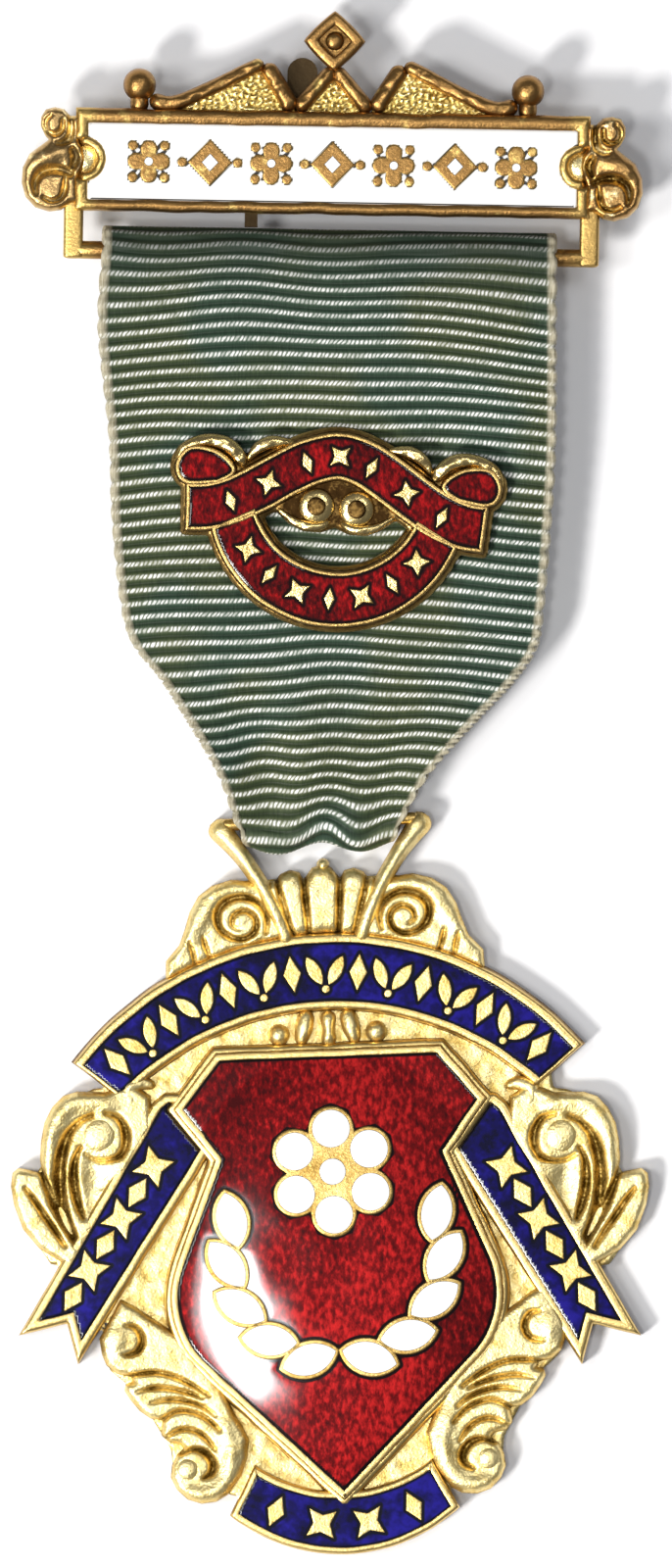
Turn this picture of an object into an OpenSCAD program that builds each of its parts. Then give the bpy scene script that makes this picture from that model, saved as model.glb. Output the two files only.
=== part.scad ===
// Enamelled breast jewel lying face up: a brooch bar, a ribbed ribbon with a small
// badge on it, and a shield-shaped pendant. X runs across the jewel, Y up its length,
// and Z from the surface it lies on towards the viewer. Lengths are in millimetres.

/* [Brooch bar] */
// Length of the bar's frame
bar_w = 34.1; // [30:0.1:40]
// Height of the bar's frame
bar_h = 6.8; // [5.5:0.1:9]
// Thickness of the bar, back to rim
bar_t = 1.8; // [1.4:0.1:2.6]
// Metal left under the bar's enamel
bar_floor_t = 0.9; // [0.6:0.05:1.2]
// Width of the bar's upper rim
bar_rim_top = 1.05; // [0.7:0.05:1.3]
// Width of the bar's lower rim
bar_rim_foot = 0.78; // [0.5:0.02:1.1]
// Width of the bar's end rims
bar_rim_end = 0.9; // [0.6:0.05:1.2]
// Radius of the round bump in each end of the enamel field
bump_r = 1.5; // [1.2:0.05:1.8]
// Wall of that bump
bump_wall = 0.6; // [0.4:0.05:0.8]
// Height of the crest above the frame
crest_h = 6.8; // [5:0.1:9]
// Width of the crest's raised lines
crest_line = 0.85; // [0.6:0.05:1.1]
// Radius of the crest's two balls
crest_ball_r = 1.08; // [0.8:0.02:1.3]
// Clear slot between the frame and the hanger's wire
hanger_slot = 2.0; // [1.8:0.05:3]
// Diameter of the hanger's wire
wire_d = 1.2; // [0.8:0.02:1.3]
// Width of the hanger's legs
leg_w = 1.3; // [1:0.05:1.6]

/* [Brooch pin] */
// Height of the pin fitting, from the surface to the bar's back
pin_stand = 3.0; // [2.6:0.1:4]
// Diameter of the pin
pin_d = 0.7; // [0.5:0.05:0.9]
// Distance between the pin's hinge and its catch
pin_span = 22; // [18:0.5:26]
// Width of the fitting's base strip
pin_base_w = 2.6; // [2:0.1:3.4]

/* [Ribbon] */
// Width of the ribbon on the hanger
ribbon_w = 29.8; // [26:0.1:31]
// Distance from the hanger's wire to the pendant's crossbar
ribbon_l = 37.6; // [34:0.1:44]
// Thickness of the cloth over its ribs
ribbon_t = 1.0; // [0.8:0.05:1.2]
// Depth of the grooves between the ribs
rib_depth = 0.25; // [0.1:0.01:0.35]
// Number of ribs between the hanger and the crossbar
ribs = 42; // [36:1:50]
// How far the ribs bow upwards in the middle of the ribbon
rib_bow = 0.7; // [0:0.05:1]
// Height of the soft pleats where the ribbon is drawn in
pleat_h = 0.5; // [0:0.05:0.7]
// How far the pleats hang below the crossbar
pleat_drop = 0.85; // [0:0.05:1]
// How much narrower the fold is under the crossbar, as a share of its width
corner_in = 0.1; // [0:0.01:0.15]

/* [Badge] */
// Width of the badge
badge_w = 22; // [20:0.1:24]
// Thickness of the badge
badge_t = 1.2; // [1:0.05:1.6]
// Metal left under the badge's enamel
badge_floor_t = 0.6; // [0.4:0.05:0.8]
// Width of the badge's rims
badge_rim = 0.26; // [0.22:0.01:0.5]
// Distance from the hanger's wire down to the badge's centre
badge_drop = 18.2; // [17:0.1:19]

/* [Pendant] */
// Width of the pendant over its side leaves
pendant_w = 42.6; // [38:0.1:48]
// Thickness of the ground plate
ground_t = 1.1; // [0.8:0.05:1.4]
// Thickness of the enamelled bands
band_t = 2.0; // [1.7:0.05:2.3]
// Metal left under the bands' enamel
band_floor_t = 1.3; // [1:0.05:1.5]
// Thickness of the shield
shield_t = 2.6; // [2.4:0.05:3]
// Metal left under the shield's enamel
shield_floor_t = 1.9; // [1.6:0.05:2.1]
// Width of the rims of the arc and the side bands
rim_w = 0.65; // [0.5:0.01:0.8]
// Width of the rims of the shield and the base band
fine_rim_w = 0.48; // [0.4:0.01:0.6]
// Rise of the scrolls and leaves above the ground plate
relief_h = 1.6; // [1.2:0.05:2]
// Diameter of the crossbar that the ribbon goes round
crossbar_d = 0.8; // [0.6:0.05:1]
// Height of the crossbar's axis above the surface
crossbar_z = 1.9; // [1.8:0.05:2.4]
// Width of the metal lines round the white enamel
wall_w = 0.26; // [0.2:0.01:0.32]

/* [Lie] */
// Turn of the bar, positive anticlockwise
bar_turn = -1; // [-3:0.1:3]
// Turn of the badge
badge_turn = -4.5; // [-6:0.1:6]
// Turn of the pendant
pendant_turn = 2.1; // [-3:0.1:3]
// Turn of the pendant's side bands and side scrolls against the pendant
wing_turn = -2.1; // [-2.5:0.1:0]

/* [Fit] */
// Gap round every enamel
enamel_gap = 0.03; // [0.01:0.01:0.05]
// Gap between the cloth and what it goes round
cloth_gap = 0.04; // [0.02:0.01:0.1]
// Gap between the ribbon and the pendant's horns
horn_gap = 0.4; // [0.2:0.05:0.6]
// Gap under the badge, and between the bar and its pin fitting
seat_gap = 0.05; // [0.02:0.01:0.1]

/* [Hidden] */
gilt = [0.83, 0.66, 0.27];
blue = [0.05, 0.04, 0.45];
red = [0.62, 0.04, 0.06];
white = [0.97, 0.97, 0.95];
sage = [0.55, 0.62, 0.54];

// The pendant's outlines are tables in twentieths of its width, the badge's in
// twentieths of its own width, and the bar's ends in tenths of the bar's height.
unit = pendant_w / 20;
badge_unit = badge_w / 20;
end_unit = bar_h / 10;
yoke_y = 13.15 * unit;
foot_reach = 9.71 * unit;
horn_x = 3.05 * unit;
horn_half = 0.3 * unit;

// The jewel's middle is at the origin, so the bar stands half the whole length above it.
wire_drop = bar_h / 2 + hanger_slot + wire_d / 2;
whole_l = crest_h + bar_h / 2 + wire_drop + ribbon_l + yoke_y + foot_reach;
bar_y = whole_l / 2 - crest_h - bar_h / 2;
wire_y = bar_y - wire_drop;
wire_z = pin_stand + wire_d / 2;
foot_x = -0.85;
foot_y = wire_y - ribbon_l;
ribbon_foot_half = horn_x - horn_half - horn_gap;

// Joins two rows of a table by a curve through all of them, the same for every column.
function curve(a, b, c, d, t) =
    ((2 * b) + (c - a) * t + (2 * a - 5 * b + 4 * c - d) * t * t
    + (3 * b - a - 3 * c + d) * t * t * t) / 2;
function smooth(rows, steps) = [
    for (i = [0 : len(rows) - 2], j = [0 : steps - 1])
        curve(rows[max(i - 1, 0)], rows[i], rows[i + 1],
            rows[min(i + 2, len(rows) - 1)], j / steps),
    rows[len(rows) - 1]
];
function mix(a, b, t) = a + (b - a) * t;
function ease(t) = let (c = min(max(t, 0), 1)) c * c * (3 - 2 * c);
function along(rows, i) = rows[min(i + 1, len(rows) - 1)] - rows[max(i - 1, 0)];
function left_of(rows, i) =
    let (d = along(rows, i), l = norm([d[0], d[1]])) [-d[1], d[0]] / l;
function arc_points(centre, r, from, to, steps) =
    [for (i = [0 : steps]) centre + r * [cos(mix(from, to, i / steps)),
        sin(mix(from, to, i / steps))]];
function flipped(points) = [for (p = points) [-p[0], p[1]]];
function reversed(list) = [for (i = [len(list) - 1 : -1 : 0]) list[i]];

// A raised leaf or scroll. Each row holds the place of its ridge, half its width
// and the height of its ridge as a share of the relief. Its walls go down to base_z.
module lobe(table, size, relief = relief_h, low = ground_t, base_z = 0, steps = 2) {
    rows = smooth(table, steps);
    n = len(rows);
    points = [
        for (i = [0 : n - 1])
            let (
                c = size * [rows[i][0], rows[i][1]],
                w = size * rows[i][2],
                side = left_of(rows, i),
                top = low + relief * rows[i][3],
                shoulder = mix(low, top, 0.6)
            )
            for (q = [[1, base_z], [0.8, shoulder], [0, top], [-0.8, shoulder], [-1, base_z]])
                [c[0] + side[0] * w * q[0], c[1] + side[1] * w * q[0], q[1]]
    ];
    faces = concat(
        [for (i = [0 : n - 2], j = [0 : 4])
            let (a = i * 5 + j, b = i * 5 + (j + 1) % 5, c = a + 5, d = b + 5)
            each [[a, c, b], [b, c, d]]],
        [for (j = [1 : 3]) [0, j, j + 1]],
        [for (j = [1 : 3]) let (e = (n - 1) * 5) [e, e + j + 1, e + j]]
    );
    polyhedron(points = points, faces = faces, convexity = 6);
}

// A low dome with a steep edge, for bosses, balls and rosettes.
module dome(x, y, r, top, base_z = 0, sides = 10) {
    translate([x, y, base_z])
        hull() {
            cylinder(r = r, h = (top - base_z) * 0.66, $fn = sides);
            cylinder(r = r * 0.55, h = top - base_z, $fn = sides);
        }
}

// A pointed leaf in plan, from the meeting of two circles, centred on its middle.
module leaf2d(length, width, grow = 0, steps = 3) {
    l = length + 2 * grow;
    w = width + 2 * grow;
    r = (l * l / 4 + w * w / 4) / w;
    half = asin(l / 2 / r);
    upper = arc_points([0, w / 2 - r], r, 90 + half, 90 - half, steps);
    polygon(concat(upper, [for (i = [steps - 1 : -1 : 1]) [upper[i][0], -upper[i][1]]]));
}
module lozenge2d(w, h) {
    polygon([[w / 2, 0], [0, h / 2], [-w / 2, 0], [0, -h / 2]]);
}
// A sprig of two leaves and a berry, pointing along +Y.
module sprig2d(size) {
    for (s = [-1, 1])
        translate([s * size * 0.26, size * 0.02])
            rotate(90 - s * 28) leaf2d(size * 0.78, size * 0.27);
    translate([0, -size * 0.42]) circle(r = size * 0.11, $fn = 6);
}
module floret2d(size) {
    for (a = [45, 135])
        rotate(a) lozenge2d(size, size * 0.34);
}

// Brooch bar, drawn round the middle of its frame with its back at z = 0.
bump_x = bar_w / 2 - 0.55;
wire_up = wire_z - pin_stand;
leg_x = bar_w / 2 + 0.05;
motif_pitch = bar_w * 0.119;
finial_r = 0.305 * crest_h;
// End scroll from the small volute down to the large one, in tenths of the bar's
// height from the frame's end: x, y, half width, share of the relief.
scroll_table = [
    [3.3, 3.3, 0.22, 0.5],
    [2.9, 4.2, 0.28, 0.7],
    [2.1, 4.5, 0.32, 0.8],
    [1.25, 4.0, 0.34, 0.8],
    [1.05, 3.1, 0.36, 0.8],
    [1.35, 2.2, 0.45, 0.8],
    [2.0, 1.0, 0.85, 0.85],
    [3.2, -0.2, 1.15, 0.9],
    [4.25, -1.5, 1.0, 1],
    [4.62, -2.9, 0.82, 1],
    [4.0, -4.2, 0.68, 1],
    [2.8, -4.75, 0.6, 0.95],
    [1.6, -4.45, 0.52, 0.9],
    [1.0, -3.5, 0.42, 0.85],
    [1.3, -2.5, 0.34, 0.8],
    [2.1, -2.1, 0.25, 0.7],
];
belly_table = [
    [-0.5, 0.2, 0.9, 0.5],
    [0.6, 0.1, 0.95, 0.75],
    [1.7, 0.1, 0.9, 0.85],
    [2.6, -0.1, 0.7, 0.8],
];
// Plate behind the end scroll.
end_outline = [
    [-0.5, 4.3],
    [1.6, 4.4],
    [2.6, 3.4],
    [1.4, 2.0],
    [3.2, -0.3],
    [4.0, -3.0],
    [2.6, -4.7],
    [-0.5, -4.7],
];
// Crest line from the ball to the peak: shares of half the bar's length and of the
// crest's height, half width as a share of the line's width, share of the relief.
ogee_table = [
    [0.715, 0.11, 0.62, 0.8],
    [0.655, 0.09, 0.52, 0.8],
    [0.6, 0.105, 0.52, 0.85],
    [0.53, 0.17, 0.52, 0.9],
    [0.43, 0.28, 0.54, 1],
    [0.35, 0.385, 0.54, 1],
    [0.275, 0.475, 0.5, 1],
];
function crest_rows(table) = [for (r = table)
    [r[0] * bar_w / 2, bar_h / 2 + r[1] * crest_h, r[2] * crest_line, r[3]]];
// A straight bar of the crest between two places of that kind.
module crest_stroke(a, b, w) {
    hull()
        for (p = [a, b])
            translate([p[0] * bar_w / 2, bar_h / 2 + p[1] * crest_h, 0]) {
                cylinder(d = w, h = bar_t * 0.75, $fn = 8);
                cylinder(d = w * 0.6, h = bar_t * 0.95, $fn = 8);
            }
}

module bar_field2d() {
    difference() {
        translate([0, (bar_rim_foot - bar_rim_top) / 2])
            square([bar_w - 2 * bar_rim_end, bar_h - bar_rim_top - bar_rim_foot],
                center = true);
        for (s = [-1, 1])
            translate([s * bump_x, 0]) circle(r = bump_r, $fn = 24);
    }
}
module bar_motifs2d() {
    for (i = [-3 : 3])
        translate([i * motif_pitch, -0.1])
            if (abs(i) % 2 == 1)
                floret2d(bar_h * 0.46);
            else {
                lozenge2d(bar_h * 0.25, bar_h * 0.42);
                for (s = [-1, 1])
                    translate([s * bar_h * 0.2, 0]) circle(r = bar_h * 0.035, $fn = 6);
            }
}
module crest_ground2d() {
    rise = bar_h / 2;
    for (s = [0, 1])
        mirror([s, 0]) {
            polygon([for (r = concat([[0.62, -0.03], [0.53, 0.16], [0.43, 0.29],
                [0.35, 0.4], [0.285, 0.48], [0.16, 0.08], [0.14, -0.03]]))
                [r[0] * bar_w / 2, rise + r[1] * crest_h]]);
            polygon([[0, rise - 0.2], [0.14 * bar_w / 2, rise - 0.2],
                [0, rise + 0.38 * crest_h]]);
        }
}
module brooch_bar() {
    color(gilt)
        translate([0, bar_y, pin_stand]) rotate(bar_turn) {
            difference() {
                linear_extrude(bar_t) square([bar_w, bar_h], center = true);
                for (s = [-1, 1])
                    translate([s * bump_x, 0, bar_floor_t * 0.7])
                        cylinder(r = bump_r - bump_wall, h = bar_t, $fn = 24);
                translate([0, 0, bar_floor_t])
                    linear_extrude(bar_t)
                        difference() {
                            bar_field2d();
                            bar_motifs2d();
                        }
            }
            linear_extrude(bar_floor_t) crest_ground2d();
            for (s = [0, 1])
                mirror([s, 0, 0]) {
                    translate([bar_w / 2, 0, 0]) {
                        linear_extrude(bar_t * 0.4) polygon(end_unit * end_outline);
                        lobe(scroll_table, end_unit, bar_t * 0.5, bar_t * 0.55);
                        lobe(belly_table, end_unit, bar_t * 0.5, bar_t * 0.5);
                        dome(2.2 * end_unit, 3.35 * end_unit, 0.95 * end_unit, bar_t);
                        dome(2.46 * end_unit, -2.9 * end_unit, 0.68 * end_unit, bar_t);
                    }
                    lobe(crest_rows(ogee_table), 1, bar_t * 0.35, bar_t * 0.6);
                    dome(0.755 * bar_w / 2, bar_h / 2 + 0.235 * crest_h, crest_ball_r, bar_t);
                    translate([0.72 * bar_w / 2, bar_h / 2 - 0.3, 0])
                        cube([0.07 * bar_w / 2, 0.24 * crest_h + 0.3, bar_t * 0.8]);
                    crest_stroke([0.268, 0.465], [0.158, 0.01], crest_line * 1.15);
                    crest_stroke([0, 0.44], [0.14, 0.01], crest_line);
                    // Leg of the hanger.
                    hull()
                        for (y = [-bar_h / 2 + 0.5, -wire_drop])
                            translate([leg_x, y, wire_up]) {
                                cube([leg_w, wire_d * 0.8, wire_d * 0.8], center = true);
                                cube([leg_w * 0.8, wire_d, wire_d], center = true);
                            }
                }
            // Lozenge finial with its boss.
            hull()
                for (a = [0 : 90 : 270])
                    translate([0, bar_h / 2 + 0.69 * crest_h, 0])
                        rotate(a) translate([finial_r - 0.45, 0, 0]) {
                            cylinder(r = 0.45, h = bar_t * 0.75, $fn = 8);
                            cylinder(r = 0.3, h = bar_t * 0.9, $fn = 8);
                        }
            dome(0, bar_h / 2 + 0.69 * crest_h, finial_r / 3, bar_t * 1.1);
            translate([0, -wire_drop, wire_up])
                rotate([0, 90, 0])
                    cylinder(d = wire_d, h = 2 * leg_x, center = true, $fn = 12);
        }
}
module bar_enamel() {
    color(white)
        translate([0, bar_y, pin_stand + bar_floor_t + enamel_gap]) rotate(bar_turn)
            linear_extrude(bar_t - bar_floor_t - 0.12)
                difference() {
                    offset(delta = -enamel_gap) bar_field2d();
                    offset(delta = enamel_gap) bar_motifs2d();
                }
}

// Pin fitting behind the bar: strip, hinge block, catch and pin in one piece, with a
// round lug that shows behind the crest and a short tongue that shows in the slot.
strip_t = 0.6;
block_w = 2.2;
lug_x = -0.123 * bar_w / 2;
lug_y = bar_h / 2 + 0.38 * crest_h;
lug_r = 1.0;
tongue_x = -0.313 * bar_w / 2;
tongue_w = 0.85;
module brooch_pin() {
    top = pin_stand - seat_gap;
    color(gilt * 0.7)
        translate([0, bar_y, 0]) rotate(bar_turn) {
            translate([0, 0, top - strip_t / 2])
                cube([pin_span + 2 * block_w, pin_base_w, strip_t], center = true);
            for (s = [-1, 1])
                translate([s * (pin_span + block_w) / 2, 0, (top - 0.2) / 2])
                    cube([block_w, pin_base_w * 0.9, top - 0.2], center = true);
            translate([0, 0, (top - strip_t) / 2])
                rotate([0, 90, 0])
                    cylinder(d = pin_d, h = pin_span + block_w, center = true, $fn = 24);
            translate([-(pin_span + block_w) / 2, 0, (top - strip_t) / 2])
                rotate([90, 0, 0])
                    cylinder(d = (top - strip_t) * 0.8, h = pin_base_w * 1.2, center = true,
                        $fn = 24);
            translate([lug_x, lug_y, top - strip_t])
                cylinder(r = lug_r, h = strip_t, $fn = 24);
            translate([lug_x - lug_r, 0, top - strip_t])
                cube([2 * lug_r, lug_y, strip_t]);
            translate([tongue_x - tongue_w / 2, -bar_h / 2 - 0.45 * hanger_slot, top - strip_t])
                cube([tongue_w, bar_h / 2 + 0.45 * hanger_slot, strip_t]);
        }
}

// The ribbon is one loop of cloth: down the front, round the crossbar, up the back and
// round the hanger's wire. Each row gives a share of its length and how far the left
// and right edges have widened there from the foot's width to the hanger's.
edge_table = [
    [0, 1.0, 0.98],
    [0.12, 1.02, 0.99],
    [0.31, 0.93, 1.0],
    [0.45, 0.90, 0.98],
    [0.6, 0.83, 0.94],
    [0.67, 0.74, 0.9],
    [0.73, 0.54, 0.76],
    [0.8, 0.36, 0.53],
    [0.87, 0.2, 0.31],
    [0.93, 0.09, 0.14],
    [1, 0, 0],
];
edge_rows = smooth(edge_table, 4);
function row_before(s, i = 0) =
    i >= len(edge_rows) - 2 || edge_rows[i + 1][0] >= s ? i : row_before(s, i + 1);
function edge_at(s, column) =
    let (i = row_before(s), a = edge_rows[i], b = edge_rows[i + 1])
    mix(ribbon_foot_half, ribbon_w / 2,
        mix(a[column], b[column], min(max((s - a[0]) / (b[0] - a[0]), 0), 1)));
// Height of the middle of the loop, and the radius of its inner face.
function loop_z(s) = mix(wire_z, crossbar_z, s);
function loop_r(s) = mix(wire_d, crossbar_d, s) / 2 + cloth_gap;
function front_z(s) = loop_z(s) + loop_r(s) + ribbon_t;
function pleat(s, u) = pleat_h * (1 + cos(400 * u)) / 2
    * ease((s - 0.7) / 0.18) * (1 - 0.7 * ease((s - 0.9) / 0.1));
function sag(s, u) = rib_bow * ease(s / 0.12) * (1 - ease((s - 0.72) / 0.28)) * u * u
    + pleat_drop * ease((s - 0.75) / 0.25) * (1 - cos(360 * u)) / 2;
// A point of the ribbon: down is the distance from the wire's axis, u runs from the
// left edge to the right edge, and z is the height above the surface.
function cloth_point(down, u, z) =
    let (
        s = min(max(down / ribbon_l, 0), 1),
        turn = mix(bar_turn, pendant_turn, ease((s - 0.55) / 0.45)),
        x = u < 0 ? u * edge_at(s, 1) : u * edge_at(s, 2),
        y = -sag(s, u),
        cx = mix(wire_drop * sin(bar_turn), foot_x, s)
    )
    [cx + x * cos(turn) - y * sin(turn), wire_y - down + x * sin(turn) + y * cos(turn), z];
across = 6;
front_steps = 2 * ribs;
turn_steps = 8;
back_steps = 8;
function thick(k) = ribbon_t - (k % 2 == 0 ? rib_depth : 0);
// One row per section round the loop: middle of the bend, its inner radius, the angle
// of the cloth's outward side, and its thickness.
loop_rows = concat(
    [for (k = [0 : front_steps]) let (s = k / front_steps) [s, 90, thick(k)]],
    [for (k = [1 : turn_steps - 1]) [1, 90 - 180 * k / turn_steps, thick(k)]],
    [for (k = [0 : back_steps]) [1 - k / back_steps, -90, thick(0)]],
    [for (k = [1 : turn_steps - 1]) [0, -90 - 180 * k / turn_steps, thick(0)]]
);
function loop_point(row, u, out) =
    let (
        s = row[0],
        r = loop_r(s) + out * row[2],
        front = row[1] == 90 ? 1 : max(sin(row[1]), 0) * (s == 1 ? 1 : 0),
        reach = r * cos(row[1])
    )
    cloth_point(s * ribbon_l + reach, u * (1 - corner_in * s * max(cos(row[1]), 0)),
        loop_z(s) + r * sin(row[1]) + front * pleat(s, u));
module ribbon() {
    n = len(loop_rows);
    width = across + 1;
    points = [for (row = loop_rows, out = [1, 0], j = [0 : across])
        loop_point(row, -1 + 2 * j / across, out)];
    faces = [for (k = [0 : n - 1])
        let (a = 2 * width * k, b = 2 * width * ((k + 1) % n))
        each concat(
            [for (j = [0 : across - 1]) each [[a + j, a + j + 1, b + j],
                [a + j + 1, b + j + 1, b + j]]],
            [for (j = [width : width + across - 1]) each [[a + j, b + j, a + j + 1],
                [a + j + 1, b + j, b + j + 1]]],
            [[a, b, a + width], [b, b + width, a + width]],
            [[a + across, a + width + across, b + across],
                [b + across, a + width + across, b + width + across]]
        )];
    color(sage) polyhedron(points = points, faces = faces, convexity = 10);
}

// Badge, drawn round its own middle with its back at z = 0.
badge_x = 0.15;
badge_y = wire_y - badge_drop;
badge_slope = atan((front_z(0) - front_z(1)) / ribbon_l);
// Middle line of the banner's right half: x, y in twentieths of the badge's width.
banner_half = [
    [0, 4.4],
    [1.5, 4.05],
    [2.8, 3.38],
    [4.75, 2.13],
    [6.3, 1.25],
    [7.7, 0.8],
    [9.05, 0.68],
];
banner_line = smooth(concat(flipped(reversed(banner_half)),
    [for (i = [1 : len(banner_half) - 1]) banner_half[i]]), 2);
banner_w = 2.84 * badge_unit;
loop_outline = [
    [6.45, 3.05],
    [7.2, 3.85],
    [8.2, 4.15],
    [9.1, 4.05],
    [9.6, 3.3],
    [9.45, 2.55],
    [8.8, 2.25],
    [7.3, 2.45],
];
ground_outline = [
    [3.9, 1.0],
    [2.8, 0.1],
    [1.9, -0.3],
    [0.85, -0.3],
    [0, 0.05],
    [-0.85, -0.3],
    [-1.9, -0.3],
    [-2.8, 0.1],
    [-3.9, 1.0],
    [-2.8, 2.7],
    [0, 3.6],
    [2.8, 2.7],
];
ring_table = [
    [9.8, 2.9, 0.2, 0.3],
    [9.45, 4.1, 0.3, 0.6],
    [8.3, 4.7, 0.36, 0.8],
    [6.95, 4.6, 0.45, 1],
    [6.0, 3.85, 0.4, 0.9],
    [5.7, 3.3, 0.15, 0.4],
];
cusp_table = [
    [5.6, 3.7, 0.12, 0.3],
    [5.0, 4.5, 0.34, 0.85],
    [4.1, 4.95, 0.36, 0.9],
    [2.8, 4.95, 0.15, 0.4],
];
curl_table = [
    [0.3, 0.5, 0.2, 0.3],
    [1.1, 0.05, 0.3, 0.8],
    [2.3, 0.2, 0.3, 0.8],
    [3.6, 1.0, 0.12, 0.3],
];
crescent_r = [7.8, 5.17];
crescent_y = [1.9, 2.6];
skirt = 0.34 * badge_unit;
function on_line(rows, t) =
    let (i = min(floor(t), len(rows) - 2)) mix(rows[i], rows[i + 1], t - i);
function strip_side(line, half, s) = [for (i = [0 : len(line) - 1])
    badge_unit * [line[i][0], line[i][1]] + s * half * left_of(line, i)];
module banner2d(grow = 0) {
    half = banner_w / 2 + grow;
    polygon(concat(strip_side(banner_line, half, 1),
        reversed(strip_side(banner_line, half, -1))));
}
module banner_cell2d() {
    intersection() {
        banner2d(-badge_rim);
        square([2 * (9.05 * badge_unit - badge_rim), badge_w], center = true);
    }
}
module crescent2d(grow = 0) {
    difference() {
        translate([0, crescent_y[0] * badge_unit])
            circle(r = crescent_r[0] * badge_unit + grow, $fn = 56);
        translate([0, crescent_y[1] * badge_unit])
            circle(r = crescent_r[1] * badge_unit - grow, $fn = 40);
        translate([-badge_w, 1.2 * badge_unit]) square(2 * badge_w);
    }
}
module crescent_cell2d() {
    difference() {
        crescent2d(-badge_rim);
        banner2d();
    }
}
module loop_cell2d() {
    polygon(badge_unit * loop_outline);
}
module badge_plate2d() {
    banner2d();
    crescent2d();
    for (s = [0, 1])
        mirror([s, 0]) offset(delta = badge_rim, chamfer = true) loop_cell2d();
}
module banner_motifs2d() {
    for (k = [-3 : 3]) {
        t = (len(banner_line) - 1) / 2 + k * 2.7;
        p = on_line(banner_line, t);
        d = on_line(banner_line, t + 0.5) - on_line(banner_line, t - 0.5);
        translate(badge_unit * p)
            rotate(atan2(d[1], d[0]))
                if (k % 2 == 0)
                    floret2d(badge_unit * 1.7);
                else
                    lozenge2d(badge_unit * 0.7, badge_unit * 1.5);
    }
}
module crescent_motifs2d() {
    for (k = [-3 : 3])
        translate([0, 2.1 * badge_unit])
            rotate(k * 18) translate([0, -6.3 * badge_unit])
                if (k % 2 == 0)
                    lozenge2d(badge_unit * 0.7, badge_unit * 1.5);
                else
                    floret2d(badge_unit * 1.75);
}
module place_badge() {
    s = badge_drop / ribbon_l;
    translate([badge_x, badge_y, front_z(s) + seat_gap])
        rotate([badge_slope, 0, 0]) rotate(badge_turn) children();
}
module badge_frame() {
    color(gilt)
        place_badge() {
            difference() {
                union() {
                    linear_extrude(badge_t) badge_plate2d();
                    linear_extrude(badge_t * 0.7) {
                        offset(delta = skirt) badge_plate2d();
                        polygon(badge_unit * ground_outline);
                    }
                }
                translate([0, 0, badge_floor_t])
                    linear_extrude(badge_t) {
                        difference() {
                            banner_cell2d();
                            banner_motifs2d();
                        }
                        difference() {
                            crescent_cell2d();
                            crescent_motifs2d();
                        }
                        for (s = [0, 1])
                            mirror([s, 0]) loop_cell2d();
                    }
            }
            for (s = [0, 1])
                mirror([s, 0, 0]) {
                    lobe(ring_table, badge_unit, badge_t * 0.6, badge_t * 0.6);
                    lobe(cusp_table, badge_unit, badge_t * 0.6, badge_t * 0.6);
                    lobe(curl_table, badge_unit, badge_t * 0.6, badge_t * 0.6);
                    dome(1.22 * badge_unit, 1.3 * badge_unit, 0.95 * badge_unit, badge_t * 1.1);
                    dome(1.22 * badge_unit, 1.3 * badge_unit, 0.5 * badge_unit, badge_t * 1.25,
                        sides = 8);
                }
        }
}
module badge_enamel(name) {
    color(red)
        place_badge()
            translate([0, 0, badge_floor_t + enamel_gap])
                linear_extrude(badge_t - badge_floor_t - 0.08)
                    if (name == "band")
                        difference() {
                            offset(delta = -enamel_gap) banner_cell2d();
                            offset(delta = enamel_gap) banner_motifs2d();
                        }
                    else if (name == "crescent")
                        difference() {
                            offset(delta = -enamel_gap) crescent_cell2d();
                            offset(delta = enamel_gap) crescent_motifs2d();
                        }
                    else
                        mirror([name == "left" ? 1 : 0, 0])
                            offset(delta = -enamel_gap) loop_cell2d();
}
module badge_band_enamel() {
    badge_enamel("band");
}
module badge_crescent_enamel() {
    badge_enamel("crescent");
}
module badge_loop_enamel_left() {
    badge_enamel("left");
}
module badge_loop_enamel_right() {
    badge_enamel("right");
}

// Pendant, drawn round the middle of its shield with its back at z = 0. Its tables
// hold twentieths of its width, and each describes the right half.
wing_shift = 0.16 * unit;
arc_out = [10.29, -0.61, 50.6];
arc_in = [9.15, -1.86, 44.5];
base_out = [5.47, -4.24, 41.2];
base_in = [4.65, -3.05, 36.6];
side_outline = [
    [5.5, 4.4],
    [9.68, -2.85],
    [8.2, -2.5],
    [7.85, -3.75],
    [3.5, 3.2],
    [4.5, 4.7],
    [5.15, 4.7],
];
shield_flank = [2.17, -1.6, 3.0];
shield_half = concat(
    [[3.5, 6.05], [4.87, 4.35], [3.65, 2.73]],
    arc_points([shield_flank[0], shield_flank[1]], shield_flank[2], 22, -45, 6),
    [[0, -8.0]]
);
shield_outline = concat(shield_half,
    [for (i = [len(shield_half) - 2 : -1 : 0]) [-shield_half[i][0], shield_half[i][1]]]);
ground_outline_half = [
    [0, 8.0],
    [3.5, 7.4],
    [6.9, 5.2],
    [7.2, 3.0],
    [7.2, -2.4],
    [6.2, -4.2],
    [4.8, -6.0],
    [3.6, -7.7],
    [0, -8.6],
];
wing_outline_half = [
    [6.6, 4.9],
    [6.2, 3.2],
    [7.5, -0.8],
    [8.7, -0.65],
    [9.35, 0.3],
    [9.75, 1.3],
    [9.8, 2.3],
    [9.2, 2.1],
    [8.95, 2.5],
    [8.95, 3.4],
    [8.3, 4.4],
    [7.4, 4.8],
];
foot_outline_half = [
    [5.6, -2.2],
    [7.2, -2.4],
    [7.0, -3.7],
    [6.2, -4.4],
    [5.6, -5.5],
    [5.2, -6.2],
    [5.1, -7.1],
    [4.4, -7.7],
    [3.5, -7.3],
    [3.2, -6.3],
    [3.7, -5.0],
];
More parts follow.
